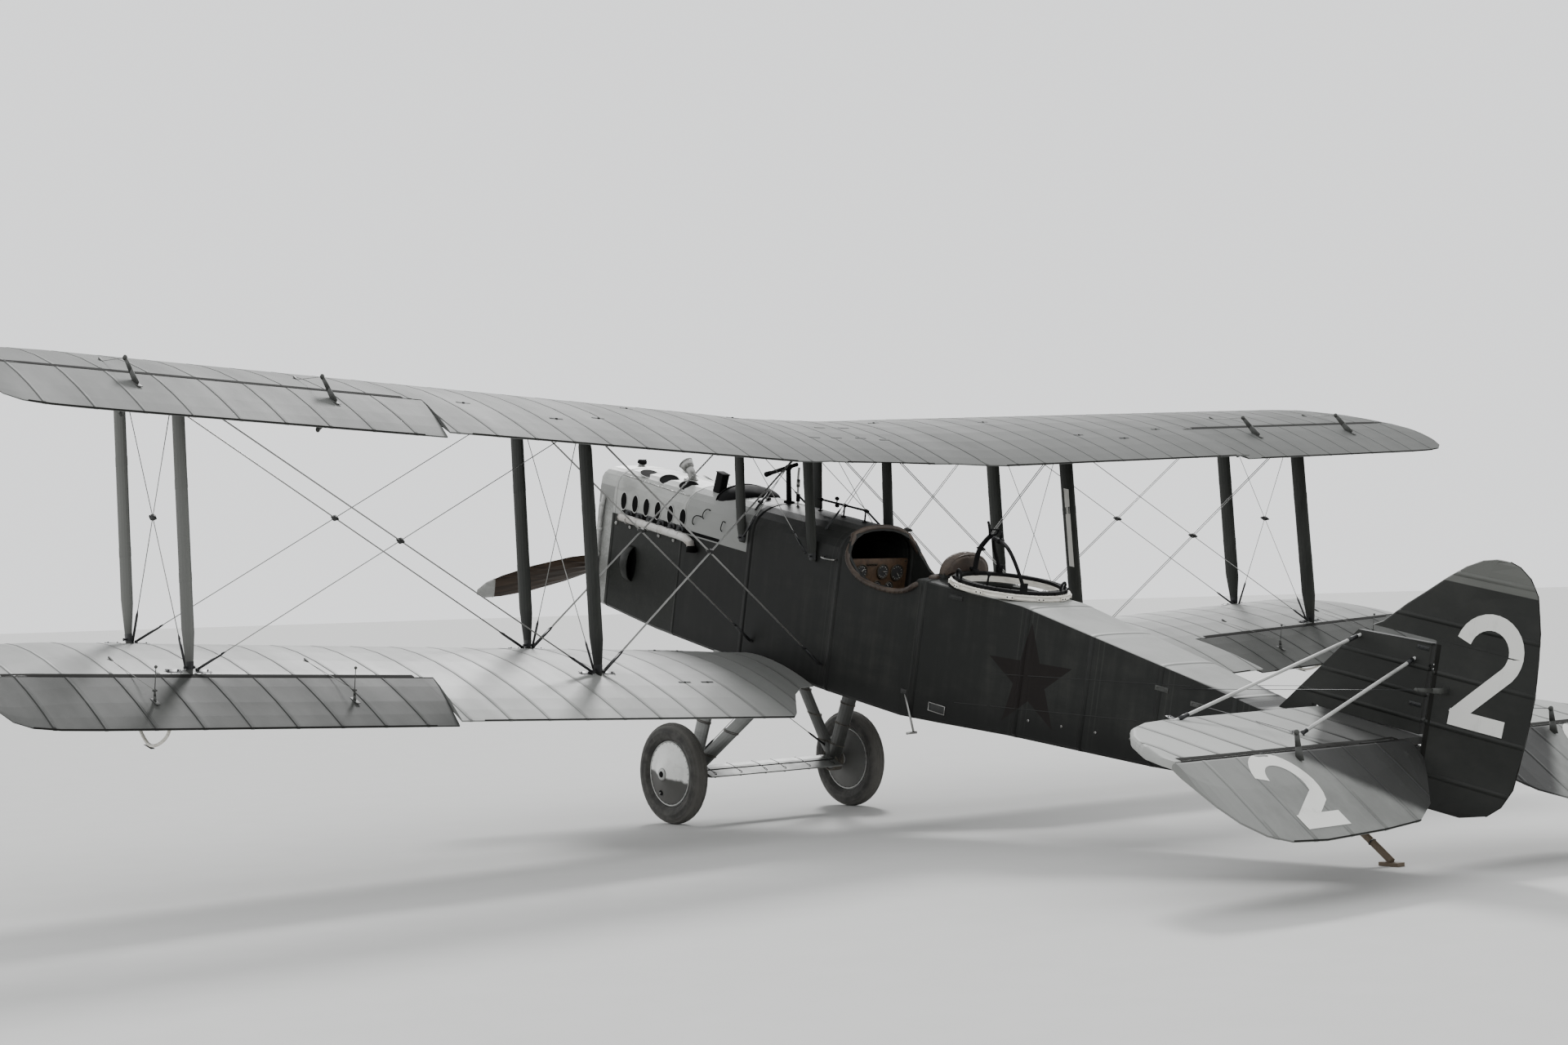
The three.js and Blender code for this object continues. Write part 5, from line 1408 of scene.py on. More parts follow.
turning, arm = bmesh.new(), bmesh.new()
for k in range(16):
    angle = 2 * pi * (k + 0.25) / 16
    hub = around(0.412, angle, base_top + 0.0135)
    outward = Vector((cos(angle), sin(angle), 0))
    rod(turning, hub - outward * 0.004, hub + outward * 0.012, 0.0105, 14)
    rod(turning, hub + outward * 0.010, hub + outward * 0.016, 0.005, 8)
for k in range(24):
    angle = 2 * pi * k / 24
    ball(turning, around(0.387, angle, base_top + 0.025), 0.006, (1, 1, 0.5), 8)
for angle in (radians(118), radians(332)):
    grip = [around(0.392, angle - 0.13, base_top + 0.026), around(0.396, angle - 0.12, base_top + 0.062),
            around(0.397, angle + 0.12, base_top + 0.062), around(0.392, angle + 0.13, base_top + 0.026)]
    bent(turning, grip, 0.0095, sides=12)
lever_at = around(0.400, radians(20), base_top + 0.03)
rod(turning, lever_at, lever_at + Vector((0.012, 0.02, 0.075)), 0.0075, 12)
ball(turning, lever_at + Vector((0.013, 0.022, 0.085)), 0.016, (1, 1, 1.2), 12)
placed('turning_ring_fittings', turning, dull_black, 'gun_ring')
ARM = ((0.000, 2.135, 2.020), (0.000, 2.138, 2.100), (0.004, 2.160, 2.190), (0.012, 2.215, 2.262),
       (0.020, 2.275, 2.318))
bent(arm, ARM, 0.0185, sides=14)
rod(arm, (-0.020, 2.135, 2.016), (0.020, 2.135, 2.016), 0.030, 16)
rod(arm, (-0.03, 2.118, 2.045), (0.03, 2.118, 2.045), 0.012, 12)
bent(arm, [(0.018, 2.262, 2.305), (0.017, 2.252, 2.350), (0.015, 2.238, 2.385), (0.012, 2.222, 2.412)],
     0.010, sides=10)
for side in (1, -1):
    tine_x = side * 0.035 + 0.02
    bent(arm, [(0.02, 2.275, 2.318), (tine_x, 2.295, 2.335), (tine_x, 2.312, 2.372)], 0.008, sides=10)
rod(arm, (-0.022, 2.310, 2.368), (0.062, 2.310, 2.368), 0.006, 10)
arm_piece = placed('ring_sprung_arm', arm, dull_black, None)
parked @ Vector((0.0, 2.130, 2.060))
parked @ Vector((0.02, 2.262, 2.305))
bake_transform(arm_piece)

bow_trim = bmesh.new()
bow = corners_of('gun_bow')
crest_z = max(corner.z for corner in bow)
crest_ring = [corner for corner in bow if corner.z > crest_z - 0.012]
crest = sum(crest_ring, Vector()) / len(crest_ring)
BOW_TURN = radians(58)
block(bow_trim, (0.060, 0.052, 0.036),
      moved(crest - raised(0.010)) @ Matrix.Rotation(BOW_TURN, 4, 'Z'), 0.008, 3)
rod(bow_trim, crest + raised(0.004), crest + raised(0.042), 0.0085, 12)
for side in (1, -1):
    ear = Vector((cos(BOW_TURN), sin(BOW_TURN), 0)) * side * 0.014
    rod(bow_trim, crest + ear + raised(0.02), crest + ear * 1.6 + raised(0.060), 0.006, 10)
placed('bow_fork', bow_trim, dull_black, 'gun_bow')


# Deck fittings between the centre struts: the sight rod on its little posts, the fuel sight
# post with its slanted pipes, spring clips on the cowl and a grab handle by the cockpit.
deck_black, deck_light = bmesh.new(), bmesh.new()
rod(deck_black, (0.0, 0.300, 2.262), (0.0, 0.905, 2.263), 0.0085, 12)
for y in (0.335, 0.62, 0.872):
    seat = atop('fuselage_front', 0, y).translation
    rod(deck_black, seat - raised(0.003), (0, y, 2.262), 0.007, 10)
    rod(deck_black, seat - raised(0.001), seat + raised(0.006), 0.020, 14)
    rod(deck_black, (0, y - 0.012, 2.2625), (0, y + 0.012, 2.2625), 0.014, 12)
for y, z in ((0.520, 2.300), (0.530, 2.245)):
    ball(deck_black, (0.0, y, z), 0.019, (0.8, 1.2, 0.85), 12)
rod(deck_black, (0, 0.525, 2.245), (0, 0.522, 2.300), 0.005, 8)
post = atop('fuselage_front', 0.0, -0.056).translation
rod(deck_black, post - raised(0.005), (0, -0.112, 2.440), 0.0225, 16, 0.019)
rod(deck_black, post - raised(0.002), post + raised(0.012), 0.045, 20)
rod(deck_black, (0, -0.376, 2.352), (0, -0.011, 2.490), 0.0165, 14)
rod(deck_black, (0, -0.385, 2.349), (0, -0.330, 2.370), 0.023, 14, 0.019)
ball(deck_black, (0, -0.112, 2.449), 0.028, (1, 1.1, 0.9), 14)
bent(deck_light, [(0.0, 0.020, 2.470), (0.006, 0.028, 2.400), (0.010, 0.050, 2.28), (0.010, 0.072, 2.150)],
     0.0095, sides=12)
rod(deck_light, (0.006, 0.034, 2.375), (0.009, 0.044, 2.315), 0.0150, 14)
rod(deck_black, (0.009, 0.055, 2.260), (0.0105, 0.064, 2.200), 0.0165, 14)
for y, x in ((-0.205, 0.10), (-0.175, 0.20)):
    seat = atop('fuselage_front', x, y)
    rod(deck_black, seat @ raised(-0.003), seat @ raised(0.012), 0.012, 12)
    rod(deck_black, seat @ raised(0.010), seat @ raised(0.020), 0.026, 16, 0.022)
for y, z, lean_by in ((-0.78, 1.865, 0.06), (-0.66, 1.935, 0.03), (-0.40, 1.875, 0.0)):
    seat = beside('fuselage_front', 1, y, z)
    bent(deck_black, [seat @ Vector(spot) for spot in (
        (0.0, 0, 0.0), (0.004, 0.012, 0.016), (0.012, 0.060, 0.018),
        (0.022 + lean_by, 0.085, 0.012), (0.035 + lean_by, 0.078, 0.001))], 0.0045)
for side in (1, -1):
    seat = beside('fuselage_front', side, 0.95, 1.905)
    bent(deck_light, [seat @ Vector(spot) for spot in (
        (-0.075, 0, -0.003), (-0.070, 0, 0.028), (0.070, 0, 0.028), (0.075, 0, -0.003))], 0.007)
placed('deck_black_fittings', deck_black, dull_black)
placed('deck_light_fittings', deck_light, bare_steel)


# Tail covering: fin and rudder in linen painted dark, the rudder paler above a masked line, and the elevators a
# mid grey, darkened on their inner parts by a painted shadow of the fin and rudder. All are taped over their
# ribs.
def tail_linen(name, clean, worn, above=None, across=2, fin_shadow_edge=None):
    linen = Finish(name, Specular_IOR_Level=0.25, Coat_Weight=0.04, Coat_Roughness=0.35)
    here = linen.place()
    axes = linen.axes(here)
    step = abs(axes[across]) / 0.31
    part = step.fract()
    from_middle = abs(part - 0.5)
    hollow = from_middle * from_middle * 4
    weather = linen.noise(linen.place((1.4, 0.8, 1.4)), 1.8, 6.0, 0.62)
    spots = linen.ease(linen.noise(here, 8.0, 4.0, 0.7), 0.60, 0.76)
    weave = linen.noise(here, WEAVE, 1.0)
    tone = linen.mix(linen.ease(weather, 0.40, 0.72), clean, worn)
    if above:
        level, light, light_worn = above
        upper = linen.mix(linen.ease(weather, 0.40, 0.72), light, light_worn)
        tone = linen.mix(linen.ease(axes[2], level - 0.003, level + 0.003), tone, upper)
    # When this is set, the linen is darkened inboard of a slanted line: a painted shadow of the fin and rudder.
    if fin_shadow_edge:
        inward = fin_shadow_edge - abs(axes[0]) - (axes[1] - 6.2) * 1.24 + (weather - 0.5) * 0.12
        tone = linen.mix(linen.ease(inward, -0.06, 0.10) * 0.92, tone, tuple(c * 0.055 for c in clean))
    tone = linen.mix(spots * 0.3, tone, tuple(c * 0.6 for c in clean))
    return linen.apply(tone, 0.48 + weather * 0.22, hollow + weave * 0.08 + weather * 0.15, 0.003)


fin_linen = tail_linen('fin_linen', (0.013, 0.014, 0.0125), (0.024, 0.025, 0.0225))
rudder_linen = tail_linen('rudder_linen', (0.0135, 0.0145, 0.013), (0.025, 0.026, 0.0235),
                          above=(2.733, (0.100, 0.103, 0.095), (0.120, 0.123, 0.114)))
elevator_linen = tail_linen('elevator_linen', (0.190, 0.195, 0.186), (0.142, 0.146, 0.139),
                            across=0, fin_shadow_edge=1.27)
finish_nodes(fin_linen, 'fin')
finish_nodes(rudder_linen, 'rudder')
finish_nodes(elevator_linen, 'elevator_left', 'elevator_right')
finish_nodes(silver_metal, *[f'tail_brace_{row}_{hand}' for row in ('front', 'rear') for hand, _ in SIDES])
taped('rudder_tapes', 'rudder', 'rudder', (1.55, 1.86, 2.17, 2.48, 2.79), rudder_linen,
      across=2, width=0.032)
taped('fin_tapes', 'fin', 'airframe', (1.86, 2.02, 2.18, 2.34), fin_linen, across=2, width=0.030)
for hand, side in SIDES:
    taped(f'elevator_tapes_{hand}', f'elevator_{hand}', 'elevators',
          [side * x for x in (0.50, 0.82, 1.14, 1.46, 1.78, 2.06)], elevator_linen, width=0.032)


# Plain white numerals: a generic 2 masked and painted on each side of the rudder and on each
# elevator's top, lifted by the paint's thickness.
paint_white = dark_paint_finish('numeral_white', (0.66, 0.66, 0.63), (0.47, 0.47, 0.45), 5.0, 0.0, 0.40)


def numeral(shape, lay, size, stroke):
    """A two drawn as one band of even width; lay puts (right, up) on the surface."""
    height, width = size
    bowl = width / 2
    turns = [radians(degrees) for degrees in range(168, -46, -12)]
    line = [Vector((bowl * cos(turn), height / 2 - bowl + bowl * sin(turn))) for turn in turns]
    foot_left = Vector((-bowl + stroke * 0.30, -height / 2 + stroke / 2))
    line += [line[-1].lerp(foot_left, part) for part in (0.2, 0.4, 0.6, 0.8, 1.0)]

    def band(points, lift=0.0):
        rows = []
        for k, point in enumerate(points):
            way = (points[min(k + 1, len(points) - 1)] - points[max(k - 1, 0)]).normalized()
            across = Vector((-way.y, way.x)) * stroke / 2
            rows.append([shape.verts.new(lay(*(point + across * part), lift)) for part in (1, 0.33, -0.33, -1)])
        skinned(shape, rows)

    band(line)
    base_y = -height / 2 + stroke / 2
    band([Vector((-bowl + (2 * bowl + 0.01) * k / 6, base_y)) for k in range(7)], 0.0007)


def rudder_lay(side):
    def lay(right, up, lift):
        y, z = 6.470 + right * side + up * 0.05, 2.215 + up
        return beside('rudder', side, y, z).translation + Vector((side * (0.0018 + lift), 0, 0))
    return lay


def elevator_lay(hand, side):
    def lay(right, up, lift):
        x, y = side * 1.585 - right, 6.415 - up
        return atop(f'elevator_{hand}', x, y).translation + raised(0.0018 + lift)
    return lay


digits = bmesh.new()
for side in (1, -1):
    numeral(digits, rudder_lay(side), (0.66, 0.36), 0.098)
placed('rudder_numerals', digits, paint_white, 'rudder')
for hand, side in SIDES:
    digits = bmesh.new()
    numeral(digits, elevator_lay(hand, side), (0.50, 0.36), 0.098)
    placed(f'elevator_numeral_{hand}', digits, paint_white, 'elevators')


# Tail fittings: hinge straps on the fin and rudder, the rudder's double horn and cables, horns
# on the elevators with their cables, and shoes at both ends of each stay.
straps = bmesh.new()
for z in (1.95, 2.30):
    for side in (1, -1):
        seat = beside('fin', side, 6.035, z)
        block(straps, (0.085, 0.026, 0.004), seat @ moved((0, 0, 0.001)), 0.0015, 1)
        screws(straps, seat @ moved((0, 0, 0.003)), [(-0.03, 0), (0.0, 0), (0.03, 0)], 0.005)
for hand, _ in SIDES:
    for row in ('front', 'rear'):
        node = f'tail_brace_{row}_{hand}'
        foot, head = strut_ends(node)
        sliced(straps, node, 0.02, 0.07, 0.003)
        sliced(straps, node, 0.93, 0.98, 0.003)
        seat = atop('stabilizer', foot.x, foot.y)
        block(straps, (0.110, 0.050, 0.004), seat @ moved((0, 0, 0.001)), 0.0015, 1)
        screws(straps, seat @ moved((0, 0, 0.003)), four(0.042, 0.012), 0.005)
placed('tail_straps_and_shoes', straps, black_metal)

HORN_Z, HORN_Y = 2.075, 6.215
horn_eyes = {side: Vector((side * 0.255, HORN_Y - 0.035, HORN_Z + 0.006)) for side in (1, -1)}
rudder_horn = bmesh.new()
for side in (1, -1):
    seat = beside('rudder', side, HORN_Y + 0.03, HORN_Z).translation
    horn(rudder_horn, (seat.x - side * 0.004, HORN_Y + 0.03, HORN_Z), horn_eyes[side], 0.046, 0.014)
placed('rudder_horn', rudder_horn, horn_paint, 'rudder')
# Dark strips down both sides of the rudder's hinge line: painted shade for the gap between fin and rudder.
hinge_strips = bmesh.new()
for side in (1, -1):
    rows = []
    for k in range(17):
        z = 1.42 + 0.0575 * k
        spots = [beside('rudder', side, y, z).translation for y in (6.124, 6.138, 6.154)]
        rows.append([hinge_strips.verts.new(spot + port(side * 0.0012)) for spot in spots])
    skinned(hinge_strips, rows if side < 0 else rows[::-1])
placed('rudder_hinge_strips', hinge_strips, dark_line_finish, 'rudder')
for hand, side in SIDES:
    cable = bmesh.new()
    exit_at = beside('fuselage_rear', side, 4.25, 1.640).translation
    tip = horn_eyes[side]
    rod(cable, exit_at - port(side * 0.01), tip, 0.0020, 6)
    for part in (0.5, 0.75, 0.9):
        cut(cable, exit_at.lerp(tip, part), tip - exit_at)
    piece = placed(f'rudder_cable_{hand}', cable, black_metal, None)
    parked @ Vector((0, 5.55, 1.9))
    parked @ Vector((0, HORN_Y - 0.035, 2.04))
    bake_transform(piece)
ELEVATOR_HORN_X = 1.30
for hand, side in SIDES:
    lever = bmesh.new()
    nose = front_edge(f'elevator_{hand}', side * ELEVATOR_HORN_X)
    for start_z, toward, sign in ((4, DOWN, 1), (0.5, UP, -1)):
        start = (side * ELEVATOR_HORN_X, nose.y + 0.095, start_z)
        root = on_skin(f'elevator_{hand}', start, toward).translation
        eye = root + Vector((0, -0.050, 0.150 * sign))
        horn(lever, root - raised(0.004 * sign), eye, 0.062, 0.012)
        exit_at = beside('fuselage_rear', side, 4.55, 1.60 if sign > 0 else 1.42).translation
        cable = bmesh.new()
        rod(cable, exit_at - port(side * 0.01), eye, 0.0020, 6)
        for part in (0.6, 0.8, 0.92):
            cut(cable, exit_at.lerp(eye, part), eye - exit_at)
        above = 'upper' if sign > 0 else 'lower'
        piece = placed(f'elevator_cable_{above}_{hand}', cable, black_metal, None)
        parked @ Vector((eye.x, 5.6, eye.z))
        parked @ eye
        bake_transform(piece)
    placed(f'elevator_horns_{hand}', lever, horn_paint, 'elevators')
guides = bmesh.new()
for side in (1, -1):
    for y, z in ((4.25, 1.640), (4.55, 1.60), (4.55, 1.42)):
        seat = beside('fuselage_rear', side, y, z)
        block(guides, (0.110, 0.034, 0.006), seat @ moved((0, 0, 0.001)), 0.0025)
        bent(guides, circle(seat, 0.042, 0.012, 12, 0.005), 0.0032, closed=True)
placed('cable_guides', guides, horn_paint)


# Tail wires: two streamline steel wires on each side, from the fuselage's foot up to the
# stabilizer, with the same locked barrels at their ends as the wing wires.
tail_wires, tail_barrels = bmesh.new(), bmesh.new()
for side in (1, -1):
    for y, x, low_y in ((5.45, 1.10, 5.30), (5.88, 1.50, 5.55)):
        seat = on_skin('stabilizer', (side * x, y, 0.5), UP).translation
        low = beside('fuselage_rear', side, low_y, 1.30).translation
        wire(tail_wires, tail_barrels, low, seat - raised(0.004), 0.0026)
placed('tail_wires', tail_wires, wire_steel)
placed('tail_wire_barrels', tail_barrels, black_metal)


# Undercarriage: two V legs faired in painted sheet, bound with cord at their feet, where rubber
# shock cord lashes the axle down. The axle runs in a light streamlined fairing.
finish_nodes(beaten_metal('gear_paint', (0.175, 0.18, 0.17)), 'gear_leg_left', 'axle')
# The starboard leg is toned much darker than the port leg: painted shade from the fuselage above it.
finish_nodes(beaten_metal('gear_paint_painted_shade', (0.055, 0.057, 0.053)), 'gear_leg_right')
finish_nodes(bare_steel, 'propeller_shaft')
cord_cotton = Finish('shock_cord', Specular_IOR_Level=0.2)
braid = cord_cotton.noise(cord_cotton.place(), 260.0, 2.0)
cord_dirt = cord_cotton.noise(cord_cotton.place(), 14.0, 5.0, 0.6)
cord_colour = cord_cotton.mix(cord_cotton.ease(cord_dirt, 0.35, 0.7), (0.13, 0.12, 0.10), (0.05, 0.045, 0.04))
shock_cord = cord_cotton.apply(cord_colour, 0.85 + cord_dirt * 0.1, braid, 0.0008)
LEG_FOOT_X, LEG_HEADS_Y = 0.742, (-0.300, 0.600)
lashing, gear_fittings, fairing_seams, gear_wires = bmesh.new(), bmesh.new(), bmesh.new(), bmesh.new()
for side in (1, -1):
    for k in range(8):
        x = side * (0.705 + 0.0115 * k)
        angles = [2 * pi * t / 20 for t in range(20)]
        bent(lashing, [(x + 0.004 * sin(angle + k), 0.083 * cos(angle), 0.087 * sin(angle))
                       for angle in angles], 0.0062, closed=True)
    for head_y in LEG_HEADS_Y:
        foot, head = port(side * LEG_FOOT_X), Vector((side * 0.350, head_y, 0.930))
        for part in (0.17, 0.40, 0.62, 0.80):
            spot = foot.lerp(head, part)
            for lift in (0, 0.012):
                bent(lashing, circle(moved(spot), 0.031, 0.085, lift=lift), 0.0035, closed=True)
        way = (head - foot).normalized()
        seat = foot.lerp(head, 0.885)
        block(gear_fittings, (0.075, 0.150, 0.012), moved(seat) @ facing(way), 0.003)
        for shift in (-0.045, 0.045):
            ball(gear_fittings, seat + Vector((side * 0.030, shift, 0.0)), 0.010, (1, 1, 0.8), 8)
    rod(gear_fittings, (side * 0.795, 0, 0), (side * 0.838, 0, 0), 0.034, 18)
    rod(gear_fittings, (side * 1.018, 0, 0), (side * 1.030, 0, 0), 0.0235, 18)
    wire(gear_wires, gear_fittings, (side * 0.690, -0.035, 0.105), (-side * 0.385, -0.262, 0.815), 0.0032)
    for x in (0.62, 0.36, 0.10):
        ys = (-0.055, -0.02, 0.04, 0.10, 0.16)
        spots = [on_skin('axle', (side * x, y, 1), DOWN).translation for y in ys]
        spots += [on_skin('axle', (side * x, y, -1), UP).translation for y in ys[::-1]]
        bent(gear_fittings, spots, 0.0035, closed=True, sides=6)
for y in (0.072, 0.078):
    path = [on_skin('axle', (-0.68 + 0.136 * k, y, 1), DOWN).translation for k in range(11)]
    bent(fairing_seams, path, 0.0035, sides=4, smooth=False)
placed('shock_cord_lashings', lashing, shock_cord)
placed('gear_fittings', gear_fittings, black_metal)
placed('axle_fairing_seam', fairing_seams, dark_line_finish)
placed('gear_cross_wires', gear_wires, bare_steel)


# Wheels: wire wheels under laced linen covers, each cover a cone out to the hub with a hole for
# the valve. The tyres are worn grey rubber with a dusty tread.
cloth = Finish('wheel_cover_linen', Specular_IOR_Level=0.35)
cloth_x, _, cloth_z = cloth.axes(cloth.place())
mud = cloth.noise(cloth.place(), 9.0, 6.0, 0.65)
# The cover is darker below the axle: painted shade.
lower_half_shade = cloth.ease((mud - 0.5) * 0.05 - cloth_z, 0.004, 0.030)
cloth_colour = cloth.mix(cloth.ease(mud, 0.45, 0.75), (0.84, 0.845, 0.82), (0.70, 0.705, 0.68))
wheel_xs = [corner.x for corner in corners_of('wheel_left')]
wheel_middle = (min(wheel_xs) + max(wheel_xs)) / 2
# Each cover's inner face is near-black: painted shade under the fuselage.
painted_shade = cloth.ease(abs(cloth_x), wheel_middle + 0.01, wheel_middle - 0.01) * 0.9
cloth_colour = cloth.mix(painted_shade, cloth_colour, (0.035, 0.034, 0.031))
cloth_colour = cloth.mix(lower_half_shade * (1 - painted_shade), cloth_colour, (0.085, 0.084, 0.079))
wheel_cloth = cloth.apply(cloth_colour, 0.45 + mud * 0.3, mud, 0.001)
rubber = Finish('tyre_rubber', Specular_IOR_Level=0.3)
rubber_place = rubber.place()
_, tread_y, tread_z = rubber.axes(rubber_place)
square = tread_y * tread_y + tread_z * tread_z
out_from = square.maths('SQRT', square)
dust = rubber.noise(rubber.place(), 10.0, 6.0, 0.65)
scuff = rubber.noise(rubber_place, 70.0, 4.0, 0.7)
rubber_colour = rubber.mix(rubber.ease(dust, 0.35, 0.7), (0.040, 0.039, 0.037), (0.082, 0.080, 0.074))
rubber_colour = rubber.mix(rubber.ease(out_from, 0.345, 0.395) * 0.75, rubber_colour, (0.155, 0.150, 0.138))
grey_rubber = rubber.apply(rubber.mix(rubber.ease(scuff, 0.6, 0.8) * 0.4, rubber_colour, (0.03, 0.03, 0.028)),
                           0.66 + dust * 0.25, scuff + dust, 0.0012)
finish_nodes(grey_rubber, 'tyre_left', 'tyre_right')
finish_nodes(silver_metal, 'wheel_left', 'wheel_right')
TRACK, TYRE_RING, TYRE_ROUND = 0.930, 0.328, 0.0725
for hand, side in SIDES:
    cover, wheel_trim, tread, valve = bmesh.new(), bmesh.new(), bmesh.new(), bmesh.new()
    middle = side * TRACK
    for way, tall in ((side, 0.112), (-side, 0.092)):
        turn = moved((middle, 0, 0)) @ facing(port(way))
        profile = [(0.256, 0.0345), (0.246, 0.0385), (0.150, 0.067 if way == side else 0.056), (0.050, tall)]
        for (outer, low), (inner, high) in zip(profile, profile[1:]):
            bmesh.ops.create_cone(cover, cap_ends=False, segments=48, radius1=outer, radius2=inner,
                                  depth=high - low, matrix=turn @ moved((0, 0, (low + high) / 2)))
        rod(wheel_trim, turn @ raised(tall - 0.006), turn @ raised(tall + 0.010), 0.0500, 24, 0.0440)
        rod(valve, turn @ raised(tall + 0.008), turn @ raised(tall + 0.016), 0.0270, 18, 0.0220)
        bent(wheel_trim, circle(turn, 0.252, count=32, lift=0.0365), 0.0065, closed=True)
        for k in range(30):
            angle = 2 * pi * k / 30
            rod(valve, turn @ Vector((0.238 * cos(angle), 0.238 * sin(angle), 0.040)),
                turn @ Vector((0.246 * cos(angle + 0.05), 0.246 * sin(angle + 0.05), 0.0395)), 0.0018, 5)
        if way == side:
            # The valve hole is a dark disc: painted shade.
            hole = Vector((middle + side * 0.0635, -0.052, -0.168))
            rod(valve, hole, hole + Vector((side * 0.004, 0, -0.001)), 0.021, 18)
            rod(wheel_trim, hole + port(side * 0.001), hole + Vector((side * 0.016, 0.002, -0.002)),
                0.0045, 8)
    bmesh.ops.remove_doubles(cover, verts=cover.verts, dist=1e-5)
    bmesh.ops.recalc_face_normals(cover, faces=cover.faces[:])
    for k in range(-3, 4):
        tilt = 0.21 * k
        radius = TYRE_RING + TYRE_ROUND * cos(tilt)
        x = middle + TYRE_ROUND * sin(tilt)
        bent(tread, [(x, radius * cos(pi * t / 20), radius * sin(pi * t / 20)) for t in range(40)],
             0.0022, closed=True, sides=4, smooth=False)
    placed(f'wheel_cover_{hand}', cover, wheel_cloth, f'wheel_{hand}')
    placed(f'wheel_trim_{hand}', wheel_trim, silver_metal, f'wheel_{hand}')
    placed(f'wheel_dark_fittings_{hand}', valve, dull_black, f'wheel_{hand}')
    placed(f'tyre_tread_ribs_{hand}', tread, grey_rubber, f'wheel_{hand}')


# Skids: a bent ash hoop under each lower tip and a sprung ash tail skid with a steel shoe, the
# tail skid lashed to its post with shock cord.
finish_nodes(pale_ash, 'wing_skid_left', 'wing_skid_right')
oiled_ash = dark_paint_finish('oiled_ash', (0.120, 0.092, 0.064), (0.060, 0.045, 0.032), 6.0, 0.0, 0.4, 0.3)
finish_nodes(oiled_ash, 'tail_skid')
skid_steel, skid_cord = bmesh.new(), bmesh.new()
for hand, _ in SIDES:
    spots = corners_of(f'wing_skid_{hand}')
    floor_z = min(spot.z for spot in spots)
    low = [spot for spot in spots if spot.z < floor_z + 0.03]
    middle = sum(low, Vector()) / len(low)
    block(skid_steel, (0.028, 0.110, 0.003), moved((middle.x, middle.y, floor_z - 0.001)), 0.001, 1)
    for part in (0.80, 0.86):
        level = floor_z + (max(spot.z for spot in spots) - floor_z) * part
        for is_aft in (False, True):
            group = [spot for spot in spots if abs(spot.z - level) < 0.03 and (spot.y >= middle.y) == is_aft]
            if group:
                leg = moved(sum(group, Vector()) / len(group))
                bent(skid_cord, circle(leg, 0.014, 0.019, 12), 0.0035, closed=True)
for k in range(9):
    turn = moved((0, 5.560, 1.150 + 0.0085 * (k - 4)))
    bent(skid_cord, circle(turn, 0.034, 0.038), 0.0055, closed=True)
for y, z in ((5.700, 1.104), (5.860, 1.030), (5.520, 1.158)):
    bent(skid_steel, [(0.029 * cos(pi * t / 8), y + 0.010 * sin(pi * t / 8), z + 0.020 * sin(pi * t / 8))
                      for t in range(16)], 0.0040, closed=True)
rod(skid_steel, (-0.045, 5.560, 1.190), (0.045, 5.560, 1.190), 0.010, 12)
placed('skid_steel_parts', skid_steel, black_metal)
placed('skid_lashings', skid_cord, shock_cord)


# Propeller: two blades carved from glued dark laminations, varnished, with thin tinned sheath at
# the tips and a bolted steel flange on both sides of the boss.
wood = Finish('laminated_wood', Specular_IOR_Level=0.25, Coat_Weight=0.06, Coat_Roughness=0.3)
_, lamina_y, _ = wood.axes(wood.place())
layer = (lamina_y / 0.019 + 200).fract()
glue = wood.ease(abs(layer - 0.5), 0.43, 0.48)
grain = wood.noise(wood.place((1.2, 9.0, 12.0)), 3.0, 6.0, 0.6)
tint = wood.noise(wood.place((0.8, 30.0, 0.8)), 1.5, 2.0)
streaks = wood.ease(grain * 0.6 + tint * 0.4, 0.35, 0.65)
wood_colour = wood.mix(streaks, (0.026, 0.017, 0.011), (0.050, 0.032, 0.020))
wood_colour = wood.mix(glue * 0.8, wood_colour, (0.010, 0.007, 0.005))
laminated_wood = wood.apply(wood_colour, 0.30 + grain * 0.25, grain, 0.0005)
finish_nodes(laminated_wood, 'propeller')
hub, SHEATH_FROM, BOLT_RING = Vector((0, -2.289, 1.320)), 1.305, 0.078
airscrew = shape_of('propeller', weld=False)
tips = sorted((vert.co - hub for vert in airscrew.verts), key=lambda spot: spot.x)
span_way = (tips[-1] - tips[0]).normalized()
span_way.y = 0
span_way.normalize()
sheath, rivets = bmesh.new(), bmesh.new()
for sign in (1, -1):
    part = airscrew.copy()
    bmesh.ops.remove_doubles(part, verts=part.verts, dist=1e-5)
    cut(part, hub + span_way * sign * SHEATH_FROM, span_way * sign, clear_inner=True)
    bmesh.ops.recalc_face_normals(part, faces=part.faces[:])
    part.normal_update()
    edge = [vert.co.copy() for vert in part.verts
            if abs((vert.co - hub).dot(span_way) * sign - SHEATH_FROM) < 1e-3]
    for vert in part.verts:
        vert.co += vert.normal * 0.0016
    for spot in edge:
        ball(rivets, spot + span_way * sign * 0.010, 0.0045, (1, 1, 1), 6)
    join(part, sheath)
placed('propeller_tip_sheaths', sheath, silver_metal, 'propeller')
boss_plates = bmesh.new()
for y, way in ((-2.349, -1), (-2.229, 1)):
    rod(boss_plates, hub + aft(y - hub.y), hub + aft(y - hub.y + way * 0.007), 0.098, 36)
    for k in range(8):
        angle = 2 * pi * k / 8
        bolt = hub + Vector((BOLT_RING * cos(angle), y - hub.y + way * 0.006, BOLT_RING * sin(angle)))
        rod(boss_plates, bolt, bolt + aft(way * 0.010), 0.0105, 6)
        rod(boss_plates, bolt, bolt + aft(way * 0.016), 0.0055, 8)
nose_nut = hub + aft(-0.115)
